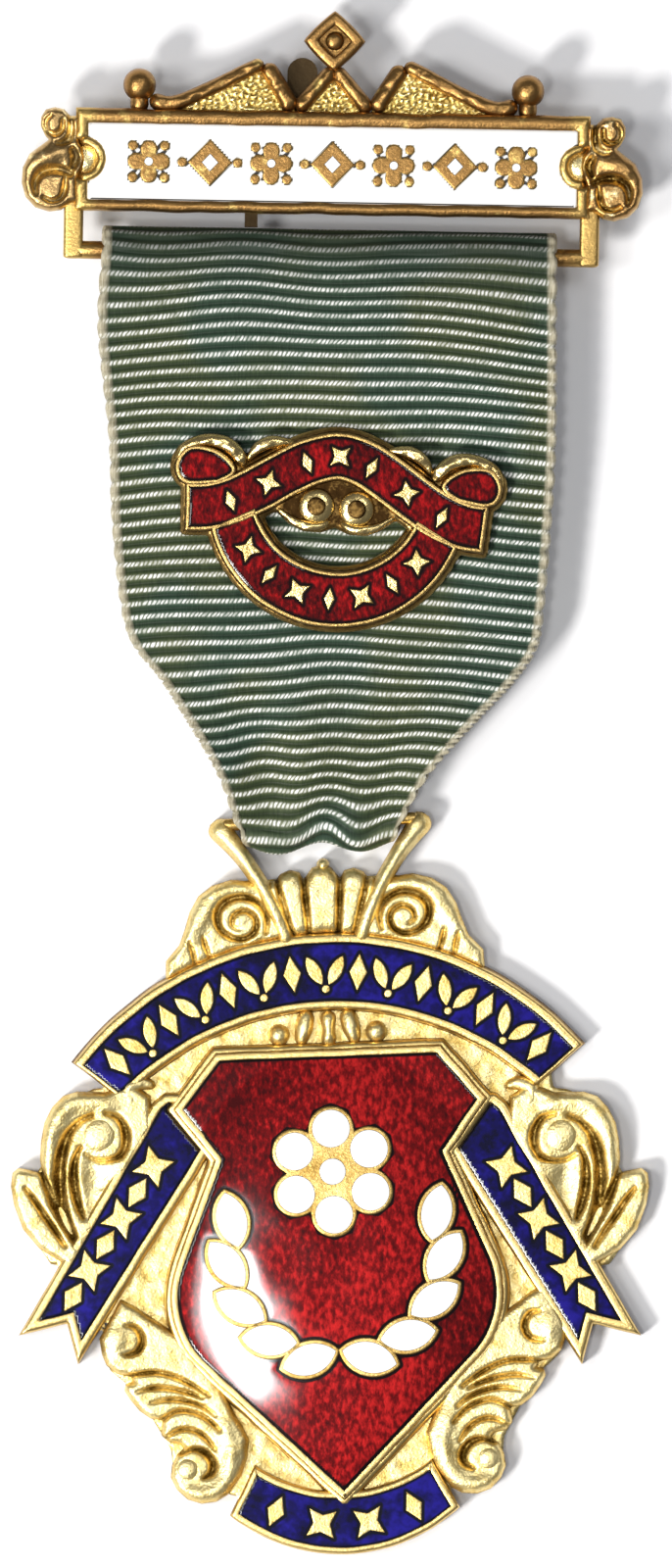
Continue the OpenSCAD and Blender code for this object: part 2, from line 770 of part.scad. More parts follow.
crown_outline_half = [
    [0, 8.8],
    [0, 11.4],
    [1.2, 11.4],
    [2.35, 11.4],
    [3.1, 11.15],
    [3.7, 10.7],
    [4.1, 10.0],
    [4.75, 9.0],
    [4.75, 8.2],
];
horn_table = [
    [1.1, 9.3, 0.32, 0.6],
    [1.35, 10.5, 0.3, 0.85],
    [1.9, 11.5, 0.26, 0.95],
    [2.45, 12.2, 0.27, 0.95],
    [3.05, 12.9, 0.36, 0.95],
    [3.32, 13.25, 0.52, 0.95],
];
fan_side_table = [
    [0.95, 11.65, 0.2, 0.5],
    [0.9, 11.3, 0.4, 0.85],
    [0.72, 10.5, 0.34, 0.95],
    [0.55, 9.4, 0.24, 0.8],
];
fan_middle_table = [
    [0, 11.7, 0.2, 0.5],
    [0, 11.35, 0.4, 0.85],
    [0, 10.5, 0.34, 1],
    [0, 9.4, 0.24, 0.8],
];
shoulder_table = [
    [1.65, 10.3, 0.3, 0.6],
    [2.15, 10.95, 0.36, 0.75],
    [3.0, 11.0, 0.37, 0.8],
    [3.7, 10.45, 0.37, 0.8],
    [4.1, 9.6, 0.33, 0.75],
    [4.75, 8.8, 0.22, 0.4],
];
volute_table = [
    [3.5, 9.0, 0.2, 0.6],
    [3.5, 9.8, 0.22, 0.9],
    [2.95, 10.4, 0.23, 1],
    [2.3, 10.3, 0.22, 1],
    [2.0, 9.75, 0.2, 1],
    [2.3, 9.3, 0.18, 0.9],
    [2.85, 9.35, 0.15, 0.8],
    [3.05, 9.8, 0.1, 0.7],
];
// Outer C of the side scroll, its two inner ridges, and the two halves of its leaf.
leaf_tables = [
    [
        [7.2, 2.62, 0.12, 0.5],
        [6.65, 2.95, 0.18, 0.6],
        [6.38, 3.6, 0.24, 0.75],
        [6.75, 4.35, 0.34, 0.8],
        [7.6, 4.45, 0.4, 0.8],
        [8.4, 3.9, 0.38, 0.8],
        [8.75, 3.0, 0.33, 0.8],
        [8.78, 2.1, 0.24, 0.7],
        [8.4, 0.7, 0.12, 0.4],
    ],
    [
        [7.0, 4.0, 0.12, 0.8],
        [7.7, 3.85, 0.18, 1],
        [8.25, 3.0, 0.2, 1],
        [8.4, 1.9, 0.19, 1],
        [7.95, 0.3, 0.12, 0.6],
    ],
    [
        [7.6, 3.1, 0.1, 0.6],
        [7.98, 2.4, 0.18, 0.9],
        [8.0, 1.6, 0.18, 0.9],
        [7.75, 0.7, 0.1, 0.5],
    ],
    [
        [8.2, -0.2, 0.14, 0.3],
        [8.75, 0.95, 0.28, 0.7],
        [9.2, 1.75, 0.3, 0.7],
        [9.8, 2.4, 0.08, 0.4],
    ],
    [
        [8.65, -0.7, 0.12, 0.3],
        [9.3, 0.3, 0.28, 0.8],
        [9.65, 1.2, 0.27, 0.85],
        [9.88, 2.35, 0.08, 0.5],
    ],
];
// Stem that winds into the lower volute, three leaves, and the small upper volute.
foot_tables = [
    [
        [6.1, -4.35, 0.12, 0.5],
        [5.2, -4.3, 0.24, 0.75],
        [4.4, -4.5, 0.34, 0.8],
        [3.7, -5.05, 0.38, 0.8],
        [3.35, -5.9, 0.38, 0.8],
        [3.4, -6.8, 0.34, 0.85],
        [3.85, -7.5, 0.3, 0.9],
        [4.55, -7.7, 0.28, 0.9],
        [5.12, -7.25, 0.26, 0.9],
        [5.15, -6.5, 0.22, 0.9],
        [4.8, -6.05, 0.14, 0.8],
    ],
    [
        [4.3, -4.95, 0.15, 0.5],
        [5.5, -4.75, 0.33, 0.8],
        [6.5, -4.65, 0.12, 0.4],
    ],
    [
        [4.1, -5.35, 0.15, 0.5],
        [5.0, -5.2, 0.27, 0.8],
        [5.85, -5.55, 0.12, 0.4],
    ],
    [
        [3.75, -6.3, 0.12, 0.6],
        [4.1, -5.75, 0.22, 0.9],
        [4.8, -5.6, 0.24, 0.9],
        [5.5, -5.85, 0.12, 0.4],
    ],
    [
        [4.7, -4.0, 0.14, 0.5],
        [5.6, -3.85, 0.24, 0.8],
        [6.5, -3.95, 0.28, 0.9],
        [6.95, -3.45, 0.24, 0.9],
        [6.9, -2.85, 0.18, 0.8],
        [6.5, -2.5, 0.1, 0.6],
    ],
];
petal_table = [
    [0.95, 6.4, 0.1, 0.3],
    [0.75, 6.8, 0.22, 0.7],
    [0.6, 7.3, 0.2, 0.5],
];
post_table = [
    [0.08, 6.2, 0.3, 0.6],
    [0.08, 6.65, 0.2, 0.5],
    [0.08, 7.2, 0.3, 0.6],
];
facet_table = [
    [5.7, 4.1, 0.12, 0.3],
    [5.95, 4.5, 0.32, 0.6],
    [6.15, 5.1, 0.2, 0.4],
];

function band_points(outer, inner, middle, steps) = unit * concat(
    arc_points([0, outer[1]], outer[0], middle + outer[2], middle - outer[2], steps),
    arc_points([0, inner[1]], inner[0], middle - inner[2], middle + inner[2], steps));
module arc2d() {
    polygon(band_points(arc_out, arc_in, 90, 20));
}
module base2d() {
    polygon(band_points(base_out, base_in, 270, 12));
}
module side2d() {
    polygon(unit * side_outline);
}
module shield2d() {
    polygon(unit * shield_outline);
}
module arc_cell2d() {
    intersection() {
        offset(delta = -rim_w) polygon(band_points([arc_out[0], arc_out[1], arc_out[2] + 8],
            [arc_in[0], arc_in[1], arc_in[2] + 8], 90, 20));
        offset(delta = -rim_w * 0.35) arc2d();
    }
}
module base_cell2d() {
    difference() {
        offset(delta = -fine_rim_w) base2d();
        offset(delta = fine_rim_w * 0.1) shield2d();
    }
}
// The cell of the right (s = 0) or left (s = 1) side band, cut back along the shield.
module side_cell2d(s) {
    difference() {
        offset(delta = -rim_w) side2d();
        mirror([s, 0])
            rotate(-wing_turn) translate([wing_shift, 0]) offset(delta = rim_w * 0.7) shield2d();
    }
}
module shield_cell2d() {
    offset(delta = -fine_rim_w) shield2d();
}
module arc_motifs2d() {
    for (k = [-5 : 5])
        translate([0, -1.22 * unit])
            rotate(-k * 8.2) translate([0, 9.7 * unit])
                if (abs(k) % 2 == 1)
                    rotate(k > 0 ? 90 : -90) sprig2d(1.3 * unit);
                else
                    lozenge2d(0.5 * unit, 1.0 * unit);
}
module side_motifs2d() {
    from = [5.55, 2.3];
    to = [7.95, -1.6];
    for (k = [0 : 4])
        translate(unit * mix(from, to, k / 4))
            rotate(atan2(to[1] - from[1], to[0] - from[0]))
                if (k % 2 == 0)
                    floret2d(1.3 * unit);
                else
                    lozenge2d(0.95 * unit, 0.5 * unit);
}
module base_motifs2d() {
    for (k = [-1.5 : 1 : 1.5])
        translate([0, -3.75 * unit])
            rotate(k * 19) translate([0, -5.0 * unit])
                if (abs(k) > 1)
                    lozenge2d(0.45 * unit, 0.9 * unit);
                else
                    floret2d(1.05 * unit);
}

// Motif on the shield: a rosette of six petals over a wreath of ten leaves, each a
// white cell inside a metal wall.
rosette_y = 2.25 * unit;
rosette_core = 0.42 * unit;
petal_r = 0.6 * unit;
petal_reach = 1.34 * unit;
wreath_y = -0.3 * unit;
wreath_r = 3.4 * unit;
leaf_l = 1.78 * unit;
leaf_w = 0.98 * unit;
module charge2d(grow, core) {
    translate([0, rosette_y]) {
        for (a = [30 : 60 : 330])
            rotate(a) translate([petal_reach, 0]) circle(r = petal_r + grow, $fn = 12);
        circle(r = core, $fn = 12);
    }
    for (s = [0, 1], k = [0 : 4])
        mirror([s, 0])
            translate([0, wreath_y])
                rotate(-74 + k * 23.5) translate([wreath_r, 0])
                    rotate(90 - 32) leaf2d(leaf_l, leaf_w, grow, 4);
}
module on_wings() {
    translate([-wing_shift, 0, 0]) rotate(wing_turn) children();
}
module on_feet() {
    translate([-wing_shift, 0, 0]) children();
}
module place_pendant() {
    translate([foot_x, foot_y, 0]) rotate(pendant_turn) translate([0, -yoke_y, 0])
        children();
}
module pendant_half() {
    lobe(horn_table, unit);
    lobe(fan_side_table, unit);
    lobe(shoulder_table, unit);
    lobe(volute_table, unit);
    dome(2.68 * unit, 9.9 * unit, 0.26 * unit, ground_t + relief_h * 0.9, sides = 8);
    dome(1.52 * unit, 6.55 * unit, 0.34 * unit, ground_t + relief_h * 0.75, sides = 8);
    lobe(petal_table, unit, steps = 1);
}
module foot_half() {
    for (t = foot_tables)
        lobe(t, unit);
    dome(4.5 * unit, -6.7 * unit, 0.58 * unit, ground_t + relief_h);
    dome(6.4 * unit, -3.05 * unit, 0.45 * unit, ground_t + relief_h);
}
module wing_half(s) {
    for (t = leaf_tables)
        lobe(t, unit);
    lobe(facet_table, unit, steps = 1);
    dome(7.1 * unit, 3.35 * unit, 0.6 * unit, ground_t + relief_h);
    difference() {
        linear_extrude(band_t) side2d();
        translate([0, 0, band_floor_t])
            linear_extrude(band_t)
                difference() {
                    side_cell2d(s);
                    side_motifs2d();
                }
    }
}
module pendant_plate2d() {
    for (s = [0, 1]) {
        mirror([s, 0]) {
            polygon(unit * ground_outline_half);
            polygon(unit * crown_outline_half);
        }
        on_wings() mirror([s, 0]) polygon(unit * wing_outline_half);
        on_feet() mirror([s, 0]) polygon(unit * foot_outline_half);
    }
}
module pendant_body() {
    color(gilt)
        place_pendant() {
            difference() {
                union() {
                    linear_extrude(ground_t) pendant_plate2d();
                    linear_extrude(band_t) {
                        arc2d();
                        base2d();
                    }
                    for (s = [0, 1]) {
                        mirror([s, 0, 0]) pendant_half();
                        on_wings() mirror([s, 0, 0]) wing_half(s);
                        on_feet() mirror([s, 0, 0]) foot_half();
                    }
                    lobe(fan_middle_table, unit);
                    lobe(post_table, unit, steps = 1);
                    dome(0.05 * unit, 11.8 * unit, 0.2 * unit, ground_t + relief_h * 0.6,
                        sides = 6);
                    linear_extrude(shield_t) shield2d();
                }
                translate([0, 0, band_floor_t])
                    linear_extrude(band_t - band_floor_t + 0.01) {
                        difference() {
                            arc_cell2d();
                            arc_motifs2d();
                        }
                        difference() {
                            base_cell2d();
                            base_motifs2d();
                        }
                    }
                translate([0, 0, shield_floor_t])
                    linear_extrude(shield_t) {
                        difference() {
                            shield_cell2d();
                            charge2d(wall_w, petal_reach);
                        }
                        charge2d(0, rosette_core);
                    }
            }
            translate([0, yoke_y, crossbar_z])
                rotate([0, 90, 0])
                    cylinder(d = crossbar_d, h = 2 * horn_x, center = true, $fn = 12);
        }
}
module band_enamel_at() {
    translate([0, 0, band_floor_t + enamel_gap])
        linear_extrude(band_t - band_floor_t - 0.1) children();
}
module arc_enamel() {
    color(blue)
        place_pendant()
            band_enamel_at()
                difference() {
                    offset(delta = -enamel_gap) arc_cell2d();
                    offset(delta = enamel_gap) arc_motifs2d();
                }
}
module base_enamel() {
    color(blue)
        place_pendant()
            band_enamel_at()
                difference() {
                    offset(delta = -enamel_gap) base_cell2d();
                    offset(delta = enamel_gap) base_motifs2d();
                }
}
module side_enamel(s) {
    color(blue)
        place_pendant() on_wings() mirror([s, 0, 0])
            band_enamel_at()
                difference() {
                    offset(delta = -enamel_gap) side_cell2d(s);
                    offset(delta = enamel_gap) side_motifs2d();
                }
}
module side_enamel_left() {
    side_enamel(1);
}
module side_enamel_right() {
    side_enamel(0);
}
module shield_enamel() {
    color(red)
        place_pendant()
            translate([0, 0, shield_floor_t + enamel_gap])
                linear_extrude(shield_t - shield_floor_t - 0.08)
                    difference() {
                        offset(delta = -enamel_gap) shield_cell2d();
                        charge2d(wall_w + enamel_gap, petal_reach);
                    }
}
module charge_enamel() {
    color(white)
        place_pendant()
            translate([0, 0, shield_floor_t + enamel_gap])
                linear_extrude(shield_t - shield_floor_t - 0.08)
                    charge2d(-enamel_gap, rosette_core - enamel_gap);
}

brooch_bar();
bar_enamel();
brooch_pin();
ribbon();
badge_frame();
badge_band_enamel();
badge_crescent_enamel();
badge_loop_enamel_left();
badge_loop_enamel_right();
pendant_body();
arc_enamel();
side_enamel_left();
side_enamel_right();
base_enamel();
shield_enamel();
charge_enamel();
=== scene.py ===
# %% [markdown]
# # An enamelled breast jewel, dressed in Blender
# The jewel lies face up: a gilt brooch bar with a crest, a ribbed silk ribbon with a small red badge
# on it, and a gilt pendant with blue and red enamel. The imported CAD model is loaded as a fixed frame,
# and each cell below makes one piece of the real thing from numpy arrays. Shapes are worked out in
# millimetres in the piece's own frame and are moved into place as whole arrays, because a table of a
# scroll is easiest to read round the middle of the part that carries it.

# %% Load the frame
import bpy
import numpy as np
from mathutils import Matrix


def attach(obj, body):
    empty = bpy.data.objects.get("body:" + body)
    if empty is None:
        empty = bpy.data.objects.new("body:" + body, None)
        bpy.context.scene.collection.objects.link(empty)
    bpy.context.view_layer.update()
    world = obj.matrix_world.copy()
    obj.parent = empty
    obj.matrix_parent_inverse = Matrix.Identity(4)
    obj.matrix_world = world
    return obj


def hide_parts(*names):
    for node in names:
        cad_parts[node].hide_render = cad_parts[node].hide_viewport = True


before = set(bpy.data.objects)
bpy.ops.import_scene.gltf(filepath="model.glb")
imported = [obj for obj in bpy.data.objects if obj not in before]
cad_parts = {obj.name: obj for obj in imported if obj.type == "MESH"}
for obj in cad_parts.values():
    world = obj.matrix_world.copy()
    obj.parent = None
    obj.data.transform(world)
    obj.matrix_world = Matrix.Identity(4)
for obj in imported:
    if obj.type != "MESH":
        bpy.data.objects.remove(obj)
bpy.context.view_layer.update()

MM = 0.001

# %% [markdown]
# ## Camera
# The picture was taken from straight above with a long lens, so the two ends of the jewel look
# equally large. A camera 1.5 m away with a narrow angle does the same, where a near one would swell
# the badge, which stands nearest to it. One pixel of the photograph is 0.065 mm of the jewel.

# %% The camera
PIXEL = 0.065 * MM
PHOTO_HEIGHT = 1600
PIXELS_RIGHT, PIXELS_UP = 3.5, -1.0
CAMERA_HEIGHT, FACE_HEIGHT = 1.5, 0.002
lens = bpy.data.cameras.new("camera")
lens.sensor_fit = "VERTICAL"
lens.sensor_height = 24
lens.lens = lens.sensor_height * CAMERA_HEIGHT / (PHOTO_HEIGHT * PIXEL)
lens.clip_end = 10
camera = bpy.data.objects.new("camera", lens)
camera.location = (PIXELS_RIGHT * PIXEL, PIXELS_UP * PIXEL, CAMERA_HEIGHT + FACE_HEIGHT)
bpy.context.collection.objects.link(camera)
bpy.context.scene.camera = camera
print("lens of", round(lens.lens), "mm")

# %% [markdown]
# ## Values shared by the pieces
# These are the same sizes as in the part's source. A unit is a twentieth of the width of the pendant
# or of the badge, or a tenth of the bar's height, so the tables of ornament stay short and readable.

# %% Sizes in millimetres
bar_w, bar_h, bar_t, bar_floor_t = 34.1, 6.8, 1.8, 0.9
bar_rim_top, bar_rim_foot, bar_rim_end = 1.05, 0.78, 0.9
bump_r, bump_wall, crest_h, crest_line, crest_ball_r = 1.5, 0.6, 6.8, 0.85, 1.08
hanger_slot, wire_d, leg_w, pin_stand = 2.0, 1.2, 1.3, 3.0
ribbon_w, ribbon_l, ribbon_t, rib_depth, ribs = 29.8, 37.6, 1.0, 0.25, 42
rib_bow, pleat_h, pleat_drop, corner_in = 0.7, 0.5, 0.85, 0.1
badge_w, badge_t, badge_floor_t, badge_rim, badge_drop = 22, 1.2, 0.6, 0.26, 18.2
pendant_w, ground_t, band_t, band_floor_t = 42.6, 1.1, 2.0, 1.3
shield_t, shield_floor_t, rim_w, fine_rim_w = 2.6, 1.9, 0.65, 0.48
relief_h, crossbar_d, crossbar_z, wall_w = 1.6, 0.8, 1.9, 0.26
bar_turn, badge_turn, pendant_turn, wing_turn = -1, -4.5, 2.1, -2.1
cloth_gap, horn_gap, seat_gap = 0.04, 0.4, 0.05
unit, badge_unit, end_unit = pendant_w / 20, badge_w / 20, bar_h / 10
yoke_y, foot_reach = 13.15 * unit, 9.71 * unit
horn_x, horn_half, wing_shift = 3.05 * unit, 0.3 * unit, 0.16 * unit
wire_drop = bar_h / 2 + hanger_slot + wire_d / 2
whole_l = crest_h + bar_h / 2 + wire_drop + ribbon_l + yoke_y + foot_reach
bar_y = whole_l / 2 - crest_h - bar_h / 2
wire_y, wire_z = bar_y - wire_drop, pin_stand + wire_d / 2
foot_x, foot_y = -0.85, wire_y - ribbon_l
ribbon_foot_half = horn_x - horn_half - horn_gap
badge_x, badge_y = 0.15, wire_y - badge_drop
print("whole length", round(whole_l, 2), "mm")

# %% [markdown]
# ## Curves, frames and smooth irregularity
# A scroll is a short table of places on its spine, joined by a Catmull-Rom curve that goes through
# all of them. Bezier handles would do too, but then each place needs two more numbers. Handwork is
# never quite even, so surfaces also get a field of slow waves: a sum of plane waves in seeded random
# directions, which is smooth everywhere and costs one array operation.

# %% Curves and waves
def curve(table, steps):
    """Rows of a table joined smoothly: between two rows the value is the cubic whose slopes at both
    ends are half the difference of the neighbouring rows."""
    rows = np.asarray(table, float)
    padded = np.concatenate([rows[:1], rows, rows[-1:]])
    a, b, c, d = (padded[k:len(rows) - 1 + k, None] for k in range(4))
    t = np.linspace(0, 1, steps, endpoint=False)[None, :, None]
    inner = (2 * b + (c - a) * t + (2 * a - 5 * b + 4 * c - d) * t**2
             + (3 * b - a - 3 * c + d) * t**3) / 2
    return np.concatenate([inner.reshape(-1, rows.shape[1]), rows[-1:]])


def ease(t):
    """0 below 0, 1 above 1, and 3t2 - 2t3 between, which starts and ends level."""
    c = np.clip(t, 0, 1)
    return c * c * (3 - 2 * c)


def waves(xy, pitch, seed, count=20):
    """Smooth random field of about unit size: the mean of plane waves whose lengths lie round the
    pitch and whose directions and phases are drawn from the seed."""
    rng = np.random.default_rng(seed)
    angle, phase = rng.uniform(0, 2 * np.pi, (2, count))
    rate = 2 * np.pi / (pitch * rng.uniform(0.75, 1.6, count))
    along = xy[..., 0, None] * np.cos(angle) + xy[..., 1, None] * np.sin(angle)
    return np.sin(along * rate + phase).sum(-1) * np.sqrt(2 / count)


def arc(centre, r, start, end, steps):
    """Places on a circle at equal angles from start to end, in degrees."""
    a = np.radians(np.linspace(start, end, steps + 1))
    return np.asarray(centre, float) + r * np.stack([np.cos(a), np.sin(a)], 1)


def turned(points, degrees):
    """Points turned about Z."""
    c, s = np.cos(np.radians(degrees)), np.sin(np.radians(degrees))
    out = np.array(points, float)
    out[..., 0] = points[..., 0] * c - points[..., 1] * s
    out[..., 1] = points[..., 0] * s + points[..., 1] * c
    return out


# %% Frames of the three metal parts
def flip(points):
    """The mirror image in the YZ plane."""
    return points * np.array([-1, 1, 1][:points.shape[-1]])


def shifted(points, *by):
    """Points moved by the same step, in the plane or in space."""
    return points + np.array(by, float)[:points.shape[-1]]


def on_pendant(points):
    """The pendant is turned a little about its crossbar and set at the ribbon's foot."""
    return shifted(turned(shifted(points, 0, -yoke_y, 0), pendant_turn), foot_x, foot_y, 0)


def on_wings(points):
    """The side scrolls and side bands are turned back a little about the pendant's middle."""
    return shifted(turned(points, wing_turn), -wing_shift, 0, 0)


def on_feet(points):
    """The lower leaves only lie a little to the left."""
    return shifted(points, -wing_shift, 0, 0)


def on_bar(points):
    """The bar is turned slightly and stands on the pin fitting."""
    return shifted(turned(points, bar_turn), 0, bar_y, pin_stand)


def front_z(s):
    """Height of the ribbon's face at a share of its length."""
    middle = wire_z + (crossbar_z - wire_z) * s
    return middle + (wire_d + (crossbar_d - wire_d) * s) / 2 + cloth_gap + ribbon_t


badge_slope = np.arctan((front_z(0) - front_z(1)) / ribbon_l)


def on_badge(points):
    """The badge leans with the ribbon: a turn about Z, a slope about X, and its seat."""
    p = turned(points, badge_turn)
    c, s = np.cos(badge_slope), np.sin(badge_slope)
    p = np.stack([p[..., 0], p[..., 1] * c - p[..., 2] * s, p[..., 1] * s + p[..., 2] * c], -1)
    return shifted(p, badge_x, badge_y, front_z(badge_drop / ribbon_l) + seat_gap)


# %% [markdown]
# ## From arrays to meshes
# Each form is a closed surface of its own and overlaps its neighbours a little, as chased metal
# does where two forms meet in a crease. Booleans would join them, but they leave long thin
# triangles that shade badly. The faces are turned outwards by one test: the signed volume of a
# closed surface is negative when its faces look inwards.

# %% Meshes
def grid_faces(rows, columns, close_rows=False, close_columns=False):
    """Quads between neighbouring points of a grid, whose last row or column may join the first."""
    r, c = np.meshgrid(np.arange(rows if close_rows else rows - 1),
                       np.arange(columns if close_columns else columns - 1), indexing="ij")
    r2, c2 = (r + 1) % rows, (c + 1) % columns
    return np.stack([r * columns + c, r * columns + c2, r2 * columns + c2, r2 * columns + c],
                    -1).reshape(-1, 4)


def fan(start, count, pole):
    """Triangles from a closed row of points to a pole."""
    i = np.arange(count)
    return np.stack([start + i, start + (i + 1) % count, np.full(count, pole)], 1)


def end_caps(rows, columns):
    """Triangles that close both ends of a tube of rings; its two poles follow the grid's points."""
    n = rows * columns
    return np.concatenate([fan(0, columns, n)[:, ::-1], fan(n - columns, columns, n + 1)])


def shape(points, quads, tris=None, crest=0.0, edge=0.0):
    """One closed surface. crest is how high on its form a point is, edge how near to a gold line."""
    points = np.asarray(points, float).reshape(-1, 3)
    tris = np.empty((0, 3), int) if tris is None else tris
    crest, edge = (np.broadcast_to(np.ravel(mark) if np.ndim(mark) else mark, len(points))
                   for mark in (crest, edge))
    return {"points": points, "quads": quads, "tris": tris, "crest": crest, "edge": edge}


def moved(shapes, *steps):
    """The same shapes with their points passed through each step in turn."""
    out = []
    for s in shapes:
        points = s["points"]
        for step in steps:
            points = step(points)
        out.append({**s, "points": points})
    return out


def both(shapes):
    """The shapes and their mirror images."""
    return shapes + moved(shapes, flip)


def build(name, shapes, material, node):
    """Joins closed surfaces into one object that rides on the body and stands for a CAD node."""
    points, corners, sizes, crest, edge, start = [], [], [], [], [], 0
    for s in shapes:
        q, t, p = s["quads"], s["tris"], s["points"]
        flat = np.concatenate([q[:, [0, 1, 2]], q[:, [0, 2, 3]], t])
        a, b, c = (p[flat[:, k]] - p[0] for k in range(3))
        if np.einsum("ij,ij->", a, np.cross(b, c)) < 0:
            q, t = q[:, ::-1], t[:, ::-1]
        points.append(p * MM)
        corners += [(q + start).ravel(), (t + start).ravel()]
        sizes += [np.full(len(q), 4), np.full(len(t), 3)]
        crest.append(s["crest"])
        edge.append(s["edge"])
        start += len(p)
    corners, sizes = np.concatenate(corners), np.concatenate(sizes)
    mesh = bpy.data.meshes.new(name)
    mesh.vertices.add(start)
    mesh.vertices.foreach_set("co", np.concatenate(points).ravel())
    mesh.loops.add(len(corners))
    mesh.loops.foreach_set("vertex_index", corners)
    mesh.polygons.add(len(sizes))
    mesh.polygons.foreach_set("loop_start", np.concatenate([[0], np.cumsum(sizes)[:-1]]))
    mesh.polygons.foreach_set("use_smooth", np.ones(len(sizes), bool))
    mesh.update(calc_edges=True)
    for mark, values in (("crest", crest), ("edge", edge)):
        mesh.attributes.new(mark, "FLOAT", "POINT").data.foreach_set("value", np.concatenate(values))
    mesh.materials.append(material)
    piece = bpy.data.objects.new(name, mesh)
    bpy.context.collection.objects.link(piece)
    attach(piece, "root")
    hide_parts(node)
    print(name, "-", len(shapes), "surfaces,", int((sizes - 2).sum()), "triangles")
    return piece


# %% [markdown]
# ## The kinds of surface
# Struck and chased work is made of few kinds of form, so a few functions make nearly all of it: a
# raised lobe along a spine for lines and small leaves, a moulding between two outlines for rims, a
# pad for flat polished motifs, a boss for balls and eyes, a beam for wires, a sheet cut along an
# outline for grounds and enamel, and a carved form, which is such a sheet with a rounded edge and
# grooves, for broad scrolls. Sculpting could give the same look, but a function can be read,
# repeated and mirrored.

# %% Lobes
def lobe(table, size, low, rise, base=0.12, steps=8, across=19, fullness=0.4, rough=0.012):
    """A raised scroll or leaf. Rows give the spine, half the width and the share of the rise. Across
    the spine the height is (1 - |t| to 2.2) to the fullness, and both ends are rounded off like a
    quarter circle. The surface is a little uneven, as cast metal is."""
    rows = curve(table, steps)
    spine, half, share = rows[:, :2] * size, rows[:, 2] * size, rows[:, 3]
    ahead = np.gradient(spine, axis=0)
    ahead /= np.linalg.norm(ahead, axis=1, keepdims=True)
    side = np.stack([-ahead[:, 1], ahead[:, 0]], 1)
    gone = np.concatenate([[0], np.cumsum(np.linalg.norm(np.diff(spine, axis=0), axis=1))])
    reach = np.minimum(gone / max(half[0], 0.1), (gone[-1] - gone) / max(half[-1], 0.1))
    tip = np.sqrt(np.clip(1 - (1 - np.clip(reach, 0.03, 1)) ** 2, 0, 1))
    t = np.sin(np.linspace(-np.pi / 2, np.pi / 2, across))
    bulge = (1 - np.abs(t) ** 2.2) ** fullness
    height = share[:, None] * tip[:, None] ** 0.6 * bulge
    t, height = np.pad(t, 1, "edge"), np.pad(height, ((0, 0), (1, 1)))
    xy = spine[:, None] + side[:, None] * (half * tip)[:, None, None] * t[:, None]
    z = low + rise * height + rough * waves(xy, 0.7, 2)
    z[:, [0, -1]] = base
    n, m = z.shape
    points = np.concatenate([xy, z[..., None]], -1).reshape(-1, 3)
    ends = np.array([[*spine[0], (low + base) / 2], [*spine[-1], (low + base) / 2]])
    crest = np.concatenate([np.clip(height / max(share.max(), 0.01), 0, 1).ravel(), [0, 0]])
    return shape(np.concatenate([points, ends]), grid_faces(n, m, close_columns=True),
                 end_caps(n, m)[:, ::-1], crest)


# %% Mouldings
def inset(outline, widths):
    """Every edge of a closed anticlockwise outline moved inwards by its own width; the new corners
    are where neighbouring moved edges meet."""
    edge = np.roll(outline, -1, 0) - outline
    normal = np.stack([-edge[:, 1], edge[:, 0]], 1) / np.linalg.norm(edge, axis=1, keepdims=True)
    widths = np.broadcast_to(np.asarray(widths, float), len(outline))
    m, w = np.roll(normal, 1, 0), np.roll(widths, 1)
    cross = m[:, 0] * normal[:, 1] - m[:, 1] * normal[:, 0]
    level = np.abs(cross) < 0.02
    safe = np.where(level, 1, cross)[:, None]
    meet = np.stack([w * normal[:, 1] - widths * m[:, 1], widths * m[:, 0] - w * normal[:, 0]], 1)
    mean = (m + normal) / 2 * ((w + widths) / 2)[:, None]
    return outline + np.where(level[:, None], mean, meet / safe)


def dense(outline, pitch):
    """The outline with its edges cut into pieces of about the pitch, and for each new edge the number
    of the edge that it is part of."""
    after = np.roll(outline, -1, 0)
    count = np.maximum(np.round(np.linalg.norm(after - outline, axis=1) / pitch).astype(int), 1)
    which = np.repeat(np.arange(len(outline)), count)
    t = (np.arange(len(which)) - np.repeat(np.cumsum(count) - count, count)) / count[which]
    return outline[which] + (after - outline)[which] * t[:, None], which


def moulding(width, floor, top, foot, base, round_in=0.1, slope=(0.16, 0.16), flare=0.0,
             crown=0.02):
    """Cross-section of a rim from its inner wall over its flat or rounded top and down its outer
    slope, a quarter ellipse, to its foot: shares of the width, heights, and how near the crest each
    point is."""
    q = np.linspace(0, np.pi / 2, 6)
    x = np.concatenate([[0], round_in * (1 - np.cos(q)), [(width - slope[0] + round_in) / 2],
                        width - slope[0] * (1 - np.sin(q)),
                        [width + flare * 0.35, width + flare, width + flare, 0]])
    z = np.concatenate([[floor], top - round_in * (1 - np.sin(q)), [top + crown],
                        top - slope[1] * (1 - np.cos(q)),
                        [foot + (top - slope[1] - foot) * 0.5, foot, base, base]])
    crest = np.concatenate([[0], 0.4 + 0.6 * np.sin(q), [1], 1 - 0.5 * (1 - np.cos(q)),
                            [0.2, 0, 0, 0]])
    return np.stack([x / width, z, crest], 1)


def rim(outer, inner, profile, wobble=0.015, seed=1, raised=None):
    """A moulding carried round: each point lies the profile's share of the way from the inner
    outline to the outer one, with a slight wave as of handwork."""
    across = (outer - inner)[:, None]
    xy = inner[:, None] + across * profile[None, :, :1]
    xy = xy + wobble * waves(inner, 2.5, seed)[:, None, None] * across / np.linalg.norm(
        across, axis=-1, keepdims=True)
    z = np.broadcast_to(profile[:, 1], xy.shape[:2])
    if raised is not None:
        z = z + raised(xy) * (profile[:, 1] > profile[-1, 1] + 0.01)
    points = np.concatenate([xy, z[..., None]], -1)
    return shape(points, grid_faces(len(xy), len(profile), True, True),
                 crest=np.broadcast_to(profile[:, 2], xy.shape[:2]))


